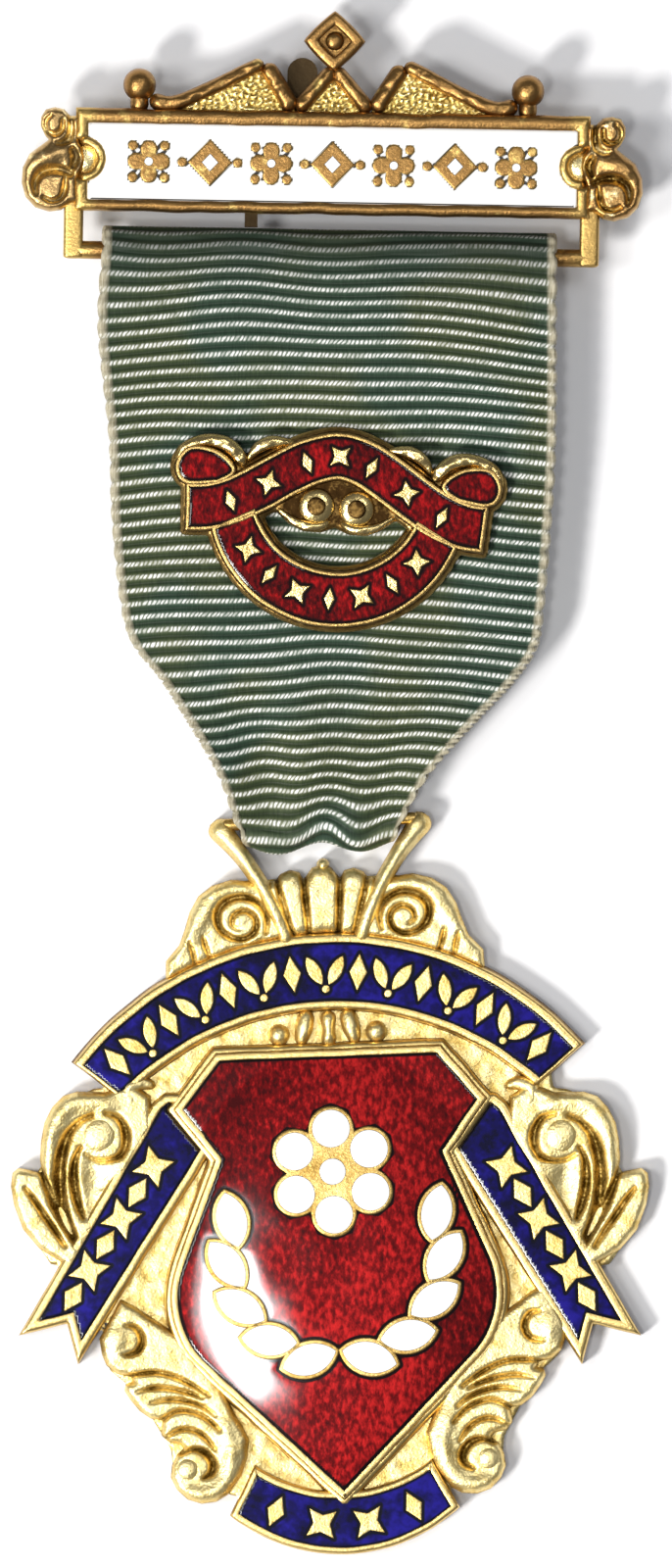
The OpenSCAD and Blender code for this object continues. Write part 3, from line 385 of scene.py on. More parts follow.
def framed(outline, widths, pitch, profile, **more):
    """A rim just inside an outline, whose edges may have different widths. An edge and its moved
    copy are cut into equally many pieces, so the rim is mitred at its corners."""
    points, which = dense(outline, pitch)
    ahead, inner = np.roll(outline, -1, 0) - outline, inset(outline, widths)
    gone = points - outline[which]
    share = np.sqrt((gone**2).sum(1, keepdims=True) / (ahead[which] ** 2).sum(1, keepdims=True))
    inner = inner[which] + (np.roll(inner, -1, 0) - inner)[which] * share
    return rim(points, inner, profile, **more)


# %% Pads and bosses
def to_line(xy, outline):
    """Distance from places to the nearest edge of a closed outline."""
    to = xy[:, None] - outline[None]
    edge = (np.roll(outline, -1, 0) - outline)[None]
    t = np.clip((to * edge).sum(-1) / np.maximum((edge**2).sum(-1), 1e-12), 0, 1)
    return np.linalg.norm(to - edge * t[..., None], axis=-1).min(1)


def around(count):
    """Directions (cos a, sin a) at equal angles, with the angles."""
    a = np.linspace(0, 2 * np.pi, count, endpoint=False)
    return a, np.stack([np.cos(a), np.sin(a)], 1)


def outline_of(radius, count):
    """The closed outline that a radius formula gives: each direction times its own radius."""
    a, way = around(count)
    return radius(a)[:, None] * way


RINGS = np.array([1, 0.975, 0.94, 0.89, 0.8, 0.65, 0.4])


def pad(radius, low, top, bevel=0.1, crown=0.0, count=64):
    """A flat motif round the origin. radius gives its outline for each angle. Inside it the surface
    falls by the bevel times (1 - distance to the outline over the bevel) squared."""
    outline = outline_of(radius, count)
    xy = (RINGS[:, None, None] * outline).reshape(-1, 2)
    depth = to_line(xy, outline)
    fall = bevel * (1 - np.clip(depth / bevel, 0, 1)) ** 2
    z = top - fall + crown * np.repeat(1 - RINGS**2, count)
    points = np.concatenate([np.concatenate([outline, np.full((count, 1), low)], 1),
                             np.concatenate([xy, z[:, None]], 1),
                             [[0, 0, low], [0, 0, top + crown]]])
    rows = len(RINGS) + 1
    near = np.clip(1 - depth / 0.12, 0, 1)
    crest = np.concatenate([np.zeros(count), 0.6 * np.clip(depth / bevel, 0, 1), [0, 0.6]])
    edge = np.concatenate([np.ones(count), near, [1, 0]])
    return shape(points, grid_faces(rows, count, close_columns=True), end_caps(rows, count), crest,
                 edge)


def lozenge(w, h):
    """Radius of a rhombus: 1 over |cos| over half its width plus |sin| over half its height."""
    return lambda a: 1 / (np.abs(np.cos(a)) * 2 / w + np.abs(np.sin(a)) * 2 / h)


def floret(size, share=0.46):
    """Two crossed rhombi, whose width is that share of their length."""
    one = lozenge(size, size * share)
    return lambda a: np.maximum(one(a - np.pi / 4), one(a + np.pi / 4))


def quatrefoil(size):
    """Four round petals: the radius swings from half of its greatest value up to all of it."""
    return lambda a: size / 2 * (0.5 + 0.5 * np.abs(np.cos(2 * a)) ** 0.8)


def leaf(length, width):
    """Radius of the lens where two equal circles meet."""
    r = (length**2 + width**2) / 4 / width
    c = width / 2 - r
    return lambda a: c * np.abs(np.sin(a)) + np.sqrt(r * r - (c * np.cos(a)) ** 2)


def disc(r):
    """Radius of a circle."""
    return lambda a: np.full(a.shape, float(r))


def boss(x, y, r, top, base=0.12, rise=0.5, rings=12, count=40):
    """A round knob: an upright wall, and over the rise's share of the height a quarter ellipse that
    closes to the pole."""
    q = np.linspace(0, np.pi / 2, rings)[:-1]
    low = base + (top - base) * (1 - rise)
    radius = np.concatenate([[r], r * np.cos(q) ** 0.85])
    z = np.concatenate([[base], low + (top - low) * np.sin(q)])
    xy = radius[:, None, None] * around(count)[1] + np.array([x, y])
    points = np.concatenate([xy, np.broadcast_to(z[:, None, None], (rings, count, 1))], -1)
    crest = np.concatenate([np.repeat(np.concatenate([[0], np.sin(q) ** 0.5]), count), [0, 1]])
    return shape(np.concatenate([points.reshape(-1, 3), [[x, y, base], [x, y, top]]]),
                 grid_faces(rings, count, close_columns=True), end_caps(rings, count), crest)


def beam(start, end, width, thick, power=2.0, count=32, taper=0.25):
    """A straight wire whose section is |x/a| to the power plus |y/b| to the power = 1, rounded over
    at both ends."""
    start, end = np.array(start, float), np.array(end, float)
    ahead = (end - start) / np.linalg.norm(end - start)
    side = np.cross(ahead, [0, 0, 1.0])
    side /= np.linalg.norm(side)
    up = np.cross(side, ahead)
    a = np.linspace(0, 2 * np.pi, count, endpoint=False)
    section = (np.sign(np.cos(a)) * np.abs(np.cos(a)) ** (2 / power) * width / 2)[:, None] * side
    section = section + (np.sign(np.sin(a)) * np.abs(np.sin(a)) ** (2 / power)
                         * thick / 2)[:, None] * up
    q = np.linspace(0.15, np.pi / 2, 7)
    length = np.linalg.norm(end - start)
    s = np.concatenate([taper * (1 - np.sin(q[::-1])), np.linspace(taper, length - taper, 24)[1:-1],
                        length - taper * (1 - np.sin(q))])
    s = np.sort(s)
    near = np.minimum(s, length - s) / taper
    scale = np.sqrt(np.clip(1 - (1 - np.clip(near, 0.02, 1)) ** 2, 0, 1)) ** 0.6
    points = start + ahead * s[:, None, None] + section * scale[:, None, None]
    return shape(np.concatenate([points.reshape(-1, 3), [start, end]]),
                 grid_faces(len(s), count, close_columns=True), end_caps(len(s), count), 0.75)


# %% Sheets cut along an outline
def depth_in(xy, outline):
    """Signed distance to a closed outline, negative inside: a place is inside when a ray from it
    crosses the outline an odd number of times."""
    after = np.roll(outline, -1, 0)
    x, y = xy[:, None, 0], xy[:, None, 1]
    over = (outline[:, 1] > y) != (after[:, 1] > y)
    rise = after[:, 1] - outline[:, 1]
    meets = outline[:, 0] + (y - outline[:, 1]) * (after[:, 0] - outline[:, 0]) / np.where(
        rise == 0, 1, rise)
    inside = (over & (x < meets)).sum(1) % 2 == 1
    return np.where(inside, -1, 1) * to_line(xy, outline)


def joined(*outlines):
    """Signed distance to everything that the outlines cover together."""
    def field(xy):
        out = np.full(len(xy), 9.0)
        for line in outlines:
            near = np.all((xy > line.min(0) - 1.5) & (xy < line.max(0) + 1.5), 1)
            if near.any():
                out[near] = np.minimum(out[near], depth_in(xy[near], line))
        return out
    return field


def sheet_of(field, corner, far, pitch, top, bottom, edge=None, crest=0.5):
    """A sheet cut where the field is 0. Cells of a square grid whose mean depth is inside are kept,
    their outermost points are moved down the field's slope onto its zero line, and top, bottom and
    the wall between them close it."""
    xs, ys = (np.arange(corner[k], far[k] + pitch, pitch) for k in (0, 1))
    xy = np.stack(np.meshgrid(xs, ys, indexing="ij"), -1)
    d = field(xy.reshape(-1, 2)).reshape(xy.shape[:2])
    kept = (d[:-1, :-1] + d[1:, :-1] + d[:-1, 1:] + d[1:, 1:]) / 4 < 0
    kept = np.pad(kept, 1)
    filled = kept[:-1, :-1].astype(int) + kept[1:, :-1] + kept[:-1, 1:] + kept[1:, 1:]
    border = (filled > 0) & (filled < 4)
    p = xy[border]
    for _ in range(3):
        here, step = field(p), 0.01
        slope = np.stack([field(p + [step, 0]) - here, field(p + [0, step]) - here], 1) / step
        size = np.maximum((slope**2).sum(1, keepdims=True), 0.3)
        p = p - np.clip(here[:, None] * slope / size, -pitch, pitch)
    xy[border] = p
    used = filled > 0
    index = np.cumsum(used.ravel()).reshape(used.shape) - 1
    flat = xy[used]
    deep = field(flat)
    n = len(flat)
    z, low = np.broadcast_to(top(flat, deep), n), np.full(n, float(bottom))
    i, j = np.nonzero(kept[1:-1, 1:-1])
    upper = np.stack([index[i, j], index[i + 1, j], index[i + 1, j + 1], index[i, j + 1]], 1)
    walls = []
    for di, dj, a, b in ((-1, 0, 3, 0), (1, 0, 1, 2), (0, -1, 0, 1), (0, 1, 2, 3)):
        open_side = ~kept[i + 1 + di, j + 1 + dj]
        v, w = upper[open_side, a], upper[open_side, b]
        walls.append(np.stack([w, v, v + n, w + n], 1))
    points = np.concatenate([np.column_stack([flat, z]), np.column_stack([flat, low])])
    near = np.zeros(n) if edge is None else edge(flat, deep)
    high = np.broadcast_to(crest(flat, deep) if callable(crest) else crest, n)
    return shape(points, np.concatenate([upper, upper[:, ::-1] + n] + walls),
                 crest=np.concatenate([high, high * 0]), edge=np.concatenate([near, near]))


# %% Carved forms
def carved(outline, cuts, scale, low, high, pitch=0.1, soft=0.5, base=0.12, rough=0.01):
    """A broad form with grooves. From its outline the height rises like a quarter ellipse over the
    soft width. Rows of a cut give its spine, width and depth: the depth times exp(-(distance over
    width) squared) is taken off, and a negative depth is a swell."""
    line = scale * np.asarray(outline, float)
    spines = [curve(t, 6) * [scale, scale, 1, 1] for t in cuts]

    def taken(xy, widest):
        total, rows = np.zeros(len(xy)), np.arange(len(xy))
        for spine in spines:
            if spine[:, 2].mean() > widest:
                continue
            start, ahead = spine[:-1], np.diff(spine, axis=0)
            to = xy[:, None] - start[None, :, :2]
            t = np.clip((to * ahead[:, :2]).sum(-1) / (ahead[:, :2] ** 2).sum(-1), 0, 1)
            away = np.linalg.norm(to - ahead[:, :2] * t[..., None], axis=-1)
            k = away.argmin(1)
            width, depth = (start[k, c] + ahead[k, c] * t[rows, k] for c in (2, 3))
            total += depth * np.exp(-(away[rows, k] / width) ** 2)
        return total

    def rounded(deep):
        return 0.25 + 0.75 * np.sqrt(1 - (1 - np.clip(-deep / soft, 0, 1)) ** 2)

    def top(xy, deep):
        z = low + (high - low) * rounded(deep) - taken(xy, 9) + rough * waves(xy, 0.9, 2)
        return np.maximum(z, low * 0.6)

    # The crest mark drops in the grooves and over the rounded edge, where the finish paints shade.
    def crest(xy, deep):
        return np.clip(0.85 * rounded(deep) - taken(xy, 0.4) / 0.4 + 0.07 * waves(xy, 1.6, 3), 0, 1)

    return sheet_of(joined(line), line.min(0) - pitch, line.max(0) + pitch, pitch, top, base,
                    crest=crest)


# %% [markdown]
# ## Finishes
# Every finish is a node tree on object coordinates, in metres, so a scale of 1000 makes features of
# about a millimetre. Two marks that the meshes carry steer them: crest, which is 1 on the ridge of a
# form and 0 in its hollows, where the gilding loses its shine and most finishes paint shade as a
# darker colour, while on the bar the hollows keep their gold; and edge, which is 1 where enamel meets
# a metal line, where the glass is thin and dark. Painted textures would need pictures, and these
# finishes have to work from numbers alone.

# %% Node helpers
def add(tree, kind, inputs=None, **settings):
    """A node with its settings, whose inputs are given as sockets to link or as plain values."""
    node = tree.nodes.new("ShaderNode" + kind)
    for key, value in settings.items():
        setattr(node, key, value)
    for key, value in (inputs or {}).items():
        if isinstance(value, bpy.types.NodeSocket):
            tree.links.new(value, node.inputs[key])
        else:
            node.inputs[key].default_value = value
    return node


def new_finish(name, values):
    """A material with one Principled shader, whose constants are set on its own sockets."""
    material = bpy.data.materials.new(name)
    material.use_nodes = True
    tree = material.node_tree
    tree.nodes.clear()
    shader = add(tree, "BsdfPrincipled", values)
    out = add(tree, "OutputMaterial")
    tree.links.new(shader.outputs["BSDF"], out.inputs["Surface"])
    return material, tree, shader


def mark(tree, name):
    """A mark that the mesh carries, crest or edge."""
    return add(tree, "Attribute", attribute_name=name).outputs["Fac"]


def noise(tree, at, scale, detail=2.0, roughness=0.5):
    """Fractal noise, whose scale is in features for each unit of the place."""
    return add(tree, "TexNoise", {"Vector": at, "Scale": scale, "Detail": detail,
                                  "Roughness": roughness}).outputs["Fac"]


def sums(tree, kind, *values):
    """One step of arithmetic on one, two or three values."""
    return add(tree, "Math", dict(enumerate(values)), operation=kind).outputs[0]


def spread(tree, value, low, high, to_low=0.0, to_high=1.0):
    """The value's range from low to high stretched to another range, with soft ends."""
    return add(tree, "MapRange", {"Value": value, "From Min": low, "From Max": high,
                                  "To Min": to_low, "To Max": to_high},
               interpolation_type="SMOOTHSTEP").outputs["Result"]


def ramp(tree, value, *stops):
    """Colours between stops of a place and a linear colour."""
    node = add(tree, "ValToRGB", {"Fac": value})
    elements = node.color_ramp.elements
    while len(elements) < len(stops):
        elements.new(0.5)
    for element, (place, colour) in zip(elements, stops):
        element.position = place
        element.color = (*colour, 1)
    return node.outputs["Color"]


def mixed(tree, share, a, b, kind="MIX"):
    """Two colours blended by a share."""
    node = add(tree, "Mix", data_type="RGBA", blend_type=kind)
    for socket, value in ((node.inputs[0], share), (node.inputs[6], a), (node.inputs[7], b)):
        if isinstance(value, bpy.types.NodeSocket):
            tree.links.new(value, socket)
        else:
            socket.default_value = (*value, 1) if isinstance(value, tuple) else value
    return node.outputs[2]


def bumped(tree, height, distance, strength=1.0, normal=None):
    """A normal tilted by a height, which the distance scales, on top of another normal if given."""
    inputs = {"Height": height, "Distance": distance, "Strength": strength}
    if normal is not None:
        inputs["Normal"] = normal
    return add(tree, "Bump", inputs).outputs["Normal"]


# %% Gilding
def gilding(name, high, body, low, rough=(0.6, 0.36), cloud_scale=500, grain=6000,
            grain_depth=0.02 * MM, wear=0.55, kept=None, places=(0.3, 0.58, 0.9)):
    """Worn gilding: the colour and gloss follow the crest mark, broken up by clouds of a few
    millimetres and by fine specks; a dark low colour is painted shade in the hollows. The bump is the
    frosting of the gilded surface. Where the gold is kept, in patches and where the edge mark says so,
    its own colour shows."""
    material, tree, shader = new_finish(name, {"Metallic": 1.0})
    at = add(tree, "TexCoord").outputs["Object"]
    crest = mark(tree, "crest")
    cloud = noise(tree, at, cloud_scale, 3)
    speck = noise(tree, at, grain, 2)
    level = sums(tree, "MULTIPLY_ADD", crest, 0.72, sums(tree, "MULTIPLY", cloud, wear))
    level = sums(tree, "MULTIPLY_ADD", speck, 0.6, sums(tree, "SUBTRACT", level, 0.39))
    # Painted shade: the ramp gives the hollows, where the crest mark is low, the low colour.
    colour = ramp(tree, level, *zip(places, (low, body, high)))
    if kept:
        patch = spread(tree, noise(tree, at, cloud_scale * 0.6, 4, 0.6), 0.56, 0.7)
        colour = mixed(tree, sums(tree, "MAXIMUM", patch, mark(tree, "edge")), colour, kept)
    tree.links.new(colour, shader.inputs["Base Color"])
    tree.links.new(spread(tree, level, 0.1, 0.9, *rough), shader.inputs["Roughness"])
    coarse = bumped(tree, noise(tree, at, grain / 4, 3), grain_depth * 2, 0.6)
    tree.links.new(bumped(tree, speck, grain_depth, 0.6, coarse), shader.inputs["Normal"])
    return material


# The dark low colours below are painted shade in hollows, grooves and at the foot of each form;
# worn_copper_gilding alone has bright kept gold there, as its ridges wore to copper.
pendant_gilt = gilding("frosted_gilding", (1.0, 0.83, 0.4), (0.82, 0.58, 0.17),
                       (0.13, 0.07, 0.008), rough=(0.62, 0.44), cloud_scale=900, wear=0.8,
                       grain_depth=0.055 * MM, places=(0.25, 0.6, 0.95))
rim_gilt = gilding("rim_gilding", (0.8, 0.58, 0.22), (0.5, 0.31, 0.08), (0.12, 0.055, 0.007),
                   rough=(0.55, 0.34), wear=0.7)
bar_gilt = gilding("worn_copper_gilding", (0.36, 0.2, 0.065), (0.18, 0.095, 0.024),
                   (0.6, 0.38, 0.09), rough=(0.6, 0.38), cloud_scale=1300,
                   grain_depth=0.03 * MM, wear=0.9, kept=(0.72, 0.5, 0.16), places=(0.1, 0.4, 0.85))
end_gilt = gilding("half_worn_gilding", (0.4, 0.23, 0.08), (0.64, 0.43, 0.12), (0.09, 0.045, 0.008),
                   rough=(0.55, 0.34), cloud_scale=1100, grain_depth=0.03 * MM, wear=0.9,
                   kept=(1.0, 0.8, 0.4), places=(0.35, 0.52, 0.82))
recess_gilt = gilding("bright_recess_gilding", (1.0, 0.84, 0.42), (0.75, 0.54, 0.16),
                      (0.2, 0.11, 0.015), rough=(0.5, 0.26), places=(0.15, 0.45, 0.85))
badge_gilt = gilding("dull_gilding", (0.44, 0.29, 0.1), (0.24, 0.14, 0.04), (0.04, 0.02, 0.006),
                     rough=(0.55, 0.32), cloud_scale=1200, wear=0.8)
rubbed_gilt = gilding("rubbed_gilding", (0.85, 0.64, 0.27), (0.5, 0.33, 0.1), (0.06, 0.03, 0.006),
                      rough=(0.5, 0.26), cloud_scale=1200, wear=0.9, grain_depth=0.03 * MM)
pin_metal = gilding("plain_brass", (0.42, 0.32, 0.16), (0.22, 0.16, 0.07), (0.06, 0.04, 0.02),
                    rough=(0.55, 0.35))

# %% [markdown]
# ## Enamel
# Enamel is coloured glass over metal. The red lies over an engraved ground, which glitters through
# it, so its shader is a rough coloured metal under a smooth clear coat: the bump moves only the
# metal's normal, and the coat keeps the glass surface. Real refraction would need thin glass with
# long render times and would be lost in the exported model.

# %% Glass finishes
def glass(name, dark, body, light, line, fleck=3600, metal=0.6, rough=0.38, depth=0.03 * MM,
          stretch=(1, 0.55, 1), line_from=0.62, coat_rough=0.04, cloud_scale=150, cloud_share=0.8):
    """Coloured glass: flecks between a dark and a light colour, clouded, and darkened to the line
    colour where it meets metal."""
    material, tree, shader = new_finish(name, {
        "Metallic": metal, "Roughness": rough, "Specular IOR Level": 0.05, "Coat Weight": 1.0,
        "Coat Roughness": coat_rough})
    at = add(tree, "TexCoord").outputs["Object"]
    drawn = add(tree, "Mapping", {"Vector": at, "Scale": stretch,
                                  "Rotation": (0, 0, 0.3)}).outputs["Vector"]
    flecks = noise(tree, drawn, fleck, 2.5, 0.6)
    cloud = noise(tree, at, cloud_scale, 3)
    level = sums(tree, "MULTIPLY_ADD", cloud, cloud_share,
                 sums(tree, "SUBTRACT", flecks, cloud_share / 2))
    colour = ramp(tree, level, (0.3, dark), (0.5, body), (0.72, light))
    colour = mixed(tree, spread(tree, mark(tree, "edge"), line_from, 0.78), colour, line)
    tree.links.new(colour, shader.inputs["Base Color"])
    tree.links.new(bumped(tree, flecks, depth), shader.inputs["Normal"])
    return material


red_glass = glass("red_enamel_over_engraving", (0.04, 0.0004, 0.0008), (0.13, 0.0012, 0.002),
                  (0.42, 0.01, 0.01), (0.004, 0.0004, 0.0006), fleck=3200, depth=0.022 * MM,
                  coat_rough=0.075, cloud_scale=90, cloud_share=0.6)
deep_red_glass = glass("deep_red_enamel", (0.02, 0.0002, 0.0006), (0.09, 0.0009, 0.0014),
                       (0.3, 0.004, 0.005), (0.004, 0.0004, 0.0006), line_from=0.35,
                       depth=0.022 * MM, cloud_scale=350, cloud_share=0.6)
blue_glass = glass("royal_blue_enamel", (0.001, 0.0006, 0.02), (0.003, 0.0015, 0.08),
                   (0.01, 0.006, 0.2), (0.0008, 0.0008, 0.006), fleck=1300, metal=0.15, rough=0.3,
                   depth=0.004 * MM, stretch=(1, 1, 1), line_from=0.5)
white_glass = glass("white_enamel", (0.9, 0.9, 0.88), (0.95, 0.95, 0.93), (0.97, 0.97, 0.96),
                    (0.05, 0.045, 0.04), fleck=500, metal=0.0, rough=0.2, depth=0.002 * MM,
                    stretch=(1, 1, 1), line_from=0.55)

# %% [markdown]
# ## Pendant: ground and scrolls
# The pendant is struck in one piece: a hammered ground plate with scrolls, leaves, a fan and frames
# standing on it. The ground is a sheet cut along everything that it carries. The scrolls are broad
# swelling forms with grooves between their turns, so each is one carved outline, and its grooves are
# read from the picture in twentieths of the pendant's width. Lobes side by side would leave gaps
# that look like bent wire, and one large displacement map would need a far finer grid for its walls.

# %% Pendant outlines
def whole(half):
    """A closed outline from its right half, listed from top to bottom."""
    half = np.asarray(half, float)
    return np.concatenate([half, flip(half[::-1])])


def anticlockwise(outline):
    """The outline in the direction in which its signed area is positive."""
    x, y = outline.T
    area = (x * np.roll(y, -1) - np.roll(x, -1) * y).sum()
    return outline if area > 0 else outline[::-1]


def band(outer, inner, middle, steps, widths):
    """A curved band between two arcs of different centres, anticlockwise, and the rim width of each
    of its edges: along the outer arc, at the ends, and along the inner arc."""
    points = np.concatenate([
        arc((0, outer[1]), outer[0], middle - outer[2], middle + outer[2], steps),
        arc((0, inner[1]), inner[0], middle + inner[2], middle - inner[2], steps)])
    return points * unit, np.array([widths[0]] * steps + [widths[1]] + [widths[2]] * steps
                                   + [widths[1]])


arc_line, arc_rims = band((10.29, -0.61, 50.6), (9.15, -1.86, 44.5), 90, 60,
                          (rim_w, 0.26, rim_w * 0.9))
base_line, base_rims = band((5.47, -4.24, 41.2), (4.65, -3.05, 36.6), 270, 36,
                            (fine_rim_w, fine_rim_w, fine_rim_w))
side_line = anticlockwise(unit * np.array([
    [5.5, 4.4], [9.68, -2.85], [8.2, -2.5], [7.85, -3.75], [3.5, 3.2], [4.5, 4.7], [5.15, 4.7]]))
shield_line = anticlockwise(unit * whole(np.concatenate([
    [[3.5, 6.05], [4.87, 4.35], [3.65, 2.73]],
    arc((2.17, -1.6), 3.0, 22, -45, 24), [[0.02, -7.97]]])))
ground_half = [[0, 8.0], [3.5, 7.4], [6.9, 5.2], [7.2, 3.0], [7.2, -2.4], [6.2, -4.2],
               [4.8, -6.0], [3.6, -7.7], [0, -8.6]]
wing_ground = unit * np.array([
    [6.6, 4.9], [6.2, 3.2], [7.5, -0.8], [8.7, -0.65], [9.35, 0.3], [9.75, 1.3], [9.8, 2.3],
    [9.2, 2.1], [8.95, 2.5], [8.95, 3.4], [8.3, 4.4], [7.4, 4.8]])
foot_ground = unit * np.array([
    [5.6, -2.2], [7.2, -2.4], [7.0, -3.7], [6.2, -4.4], [5.6, -5.5], [5.2, -6.2], [5.1, -7.1],
    [4.4, -7.7], [3.5, -7.3], [3.2, -6.3], [3.7, -5.0]])
crown_half = [[1.2, 11.4], [2.35, 11.4], [3.1, 11.15], [3.7, 10.7], [4.1, 10.0], [4.75, 9.0],
              [4.75, 8.2]]

# %% Ground plate
base_in_ground, base_in_frame = 0.03, 0.045
pendant_sheet = joined(
    unit * whole(ground_half), unit * whole(crown_half), arc_line,
    inset(base_line, base_in_ground), shield_line,
    *(place(line) for place, right in ((on_wings, wing_ground), (on_wings, side_line),
                                       (on_feet, foot_ground)) for line in (right, flip(right))))


def hammered(xy, deep):
    """The ground plate's top: shallow hammer marks of about a millimetre with finer ones between."""
    return ground_t + 0.022 * waves(xy, 1.1, 3) + 0.014 * waves(xy, 0.55, 4)


# The crest mark follows the larger hammer marks, so their dips get painted shade and their tops are
# paler.
ground = sheet_of(pendant_sheet, (-21.5, -21.5), (21.5, 25), 0.24, hammered, 0.0,
                  crest=lambda xy, deep: np.clip(0.66 + 0.12 * waves(xy, 1.1, 3), 0, 1))
build("pendant_ground", moved([ground], on_pendant), pendant_gilt, "pendant_body")

# %% Crown: fan, volutes and horns
carved_top, fan_top = ground_t + 0.95, ground_t + 1.2


def lobes(tables):
    """Lobes from tables in the pendant's units."""
    return [lobe(t, unit, ground_t, relief_h) for t in tables]


def knob(x, y, r, share, **more):
    """A boss in the pendant's units that stands up by a share of the relief."""
    return boss(x * unit, y * unit, r * unit, ground_t + relief_h * share, **more)


horn_table = [[1.1, 9.3, 0.28, 0.6], [1.4, 10.2, 0.27, 0.85], [1.85, 11.15, 0.26, 0.95],
              [2.4, 12.05, 0.27, 0.95], [3.0, 12.85, 0.36, 0.95], [3.32, 13.25, 0.52, 0.95]]
pillar_table = [[0.88, 6.2, 0.16, 0.5], [0.74, 6.7, 0.28, 0.75], [0.6, 7.3, 0.24, 0.6]]
middle_table = [[0.03, 6.15, 0.32, 0.75], [0.03, 6.65, 0.2, 0.7], [0.03, 7.25, 0.32, 0.75]]
fan_half = [[0.0, 11.8], [0.3, 11.72], [0.5, 11.45], [0.57, 11.38], [0.7, 11.6], [1.0, 11.68],
            [1.3, 11.55], [1.43, 11.38], [1.62, 11.35], [1.78, 11.1], [1.3, 9.57], [0.0, 9.68]]
fan_cuts = [
    [[0.57, 11.45, 0.16, 0.45], [0.55, 11.0, 0.19, 0.55], [0.51, 10.4, 0.19, 0.55],
     [0.45, 9.6, 0.16, 0.45]],
    [[1.43, 11.45, 0.14, 0.35], [1.33, 11.0, 0.18, 0.45], [1.17, 10.4, 0.18, 0.45],
     [0.95, 9.6, 0.15, 0.35]],
]
volute_line = [[1.2, 9.55], [1.2, 11.0], [1.6, 11.1], [2.2, 11.36], [2.83, 11.44], [3.42, 11.28],
               [3.87, 10.96], [4.16, 10.47], [4.33, 9.94], [4.52, 9.45], [4.95, 8.98],
               [4.98, 8.36], [4.0, 8.82], [3.0, 9.18], [2.0, 9.43]]
volute_cuts = [
    [[1.8, 9.73, 0.12, 0.3], [1.75, 10.19, 0.16, 0.4], [1.94, 10.62, 0.18, 0.5],
     [2.39, 10.87, 0.2, 0.55], [2.92, 10.81, 0.22, 0.6], [3.27, 10.47, 0.22, 0.6],
     [3.26, 10.01, 0.2, 0.55], [2.95, 9.68, 0.18, 0.5], [2.5, 9.58, 0.17, 0.5],
     [2.15, 9.8, 0.16, 0.5], [2.1, 10.2, 0.15, 0.5], [2.4, 10.45, 0.14, 0.45],
     [2.75, 10.35, 0.13, 0.4], [2.85, 10.05, 0.12, 0.35], [2.65, 9.88, 0.1, 0.2]],
    [[3.77, 9.7, 0.1, 0.2], [3.7, 9.4, 0.14, 0.4], [3.58, 9.05, 0.12, 0.35]],
    [[4.2, 9.55, 0.1, 0.2], [4.1, 9.2, 0.13, 0.35], [4.05, 8.9, 0.12, 0.3]],
    [[4.45, 9.3, 0.5, -0.1], [3.85, 10.2, 0.6, -0.25], [3.3, 10.98, 0.6, -0.25],
     [2.4, 11.15, 0.5, -0.15]],
]
crown = both(lobes([horn_table, pillar_table])
             + [carved(volute_line, volute_cuts, unit, ground_t, carved_top),
                knob(2.5, 10.1, 0.14, 0.6, rise=0.4), knob(1.52, 6.55, 0.34, 0.7, rise=0.5)])
both_cuts = fan_cuts + [[[-x, y, w, d] for x, y, w, d in cut] for cut in fan_cuts]
crown.append(carved(whole(fan_half), both_cuts, unit, ground_t, fan_top, soft=0.8))
crown += lobes([middle_table]) + [knob(0.05, 11.8, 0.2, 0.6)]
build("pendant_crown", moved(crown, on_pendant), pendant_gilt, "pendant_body")

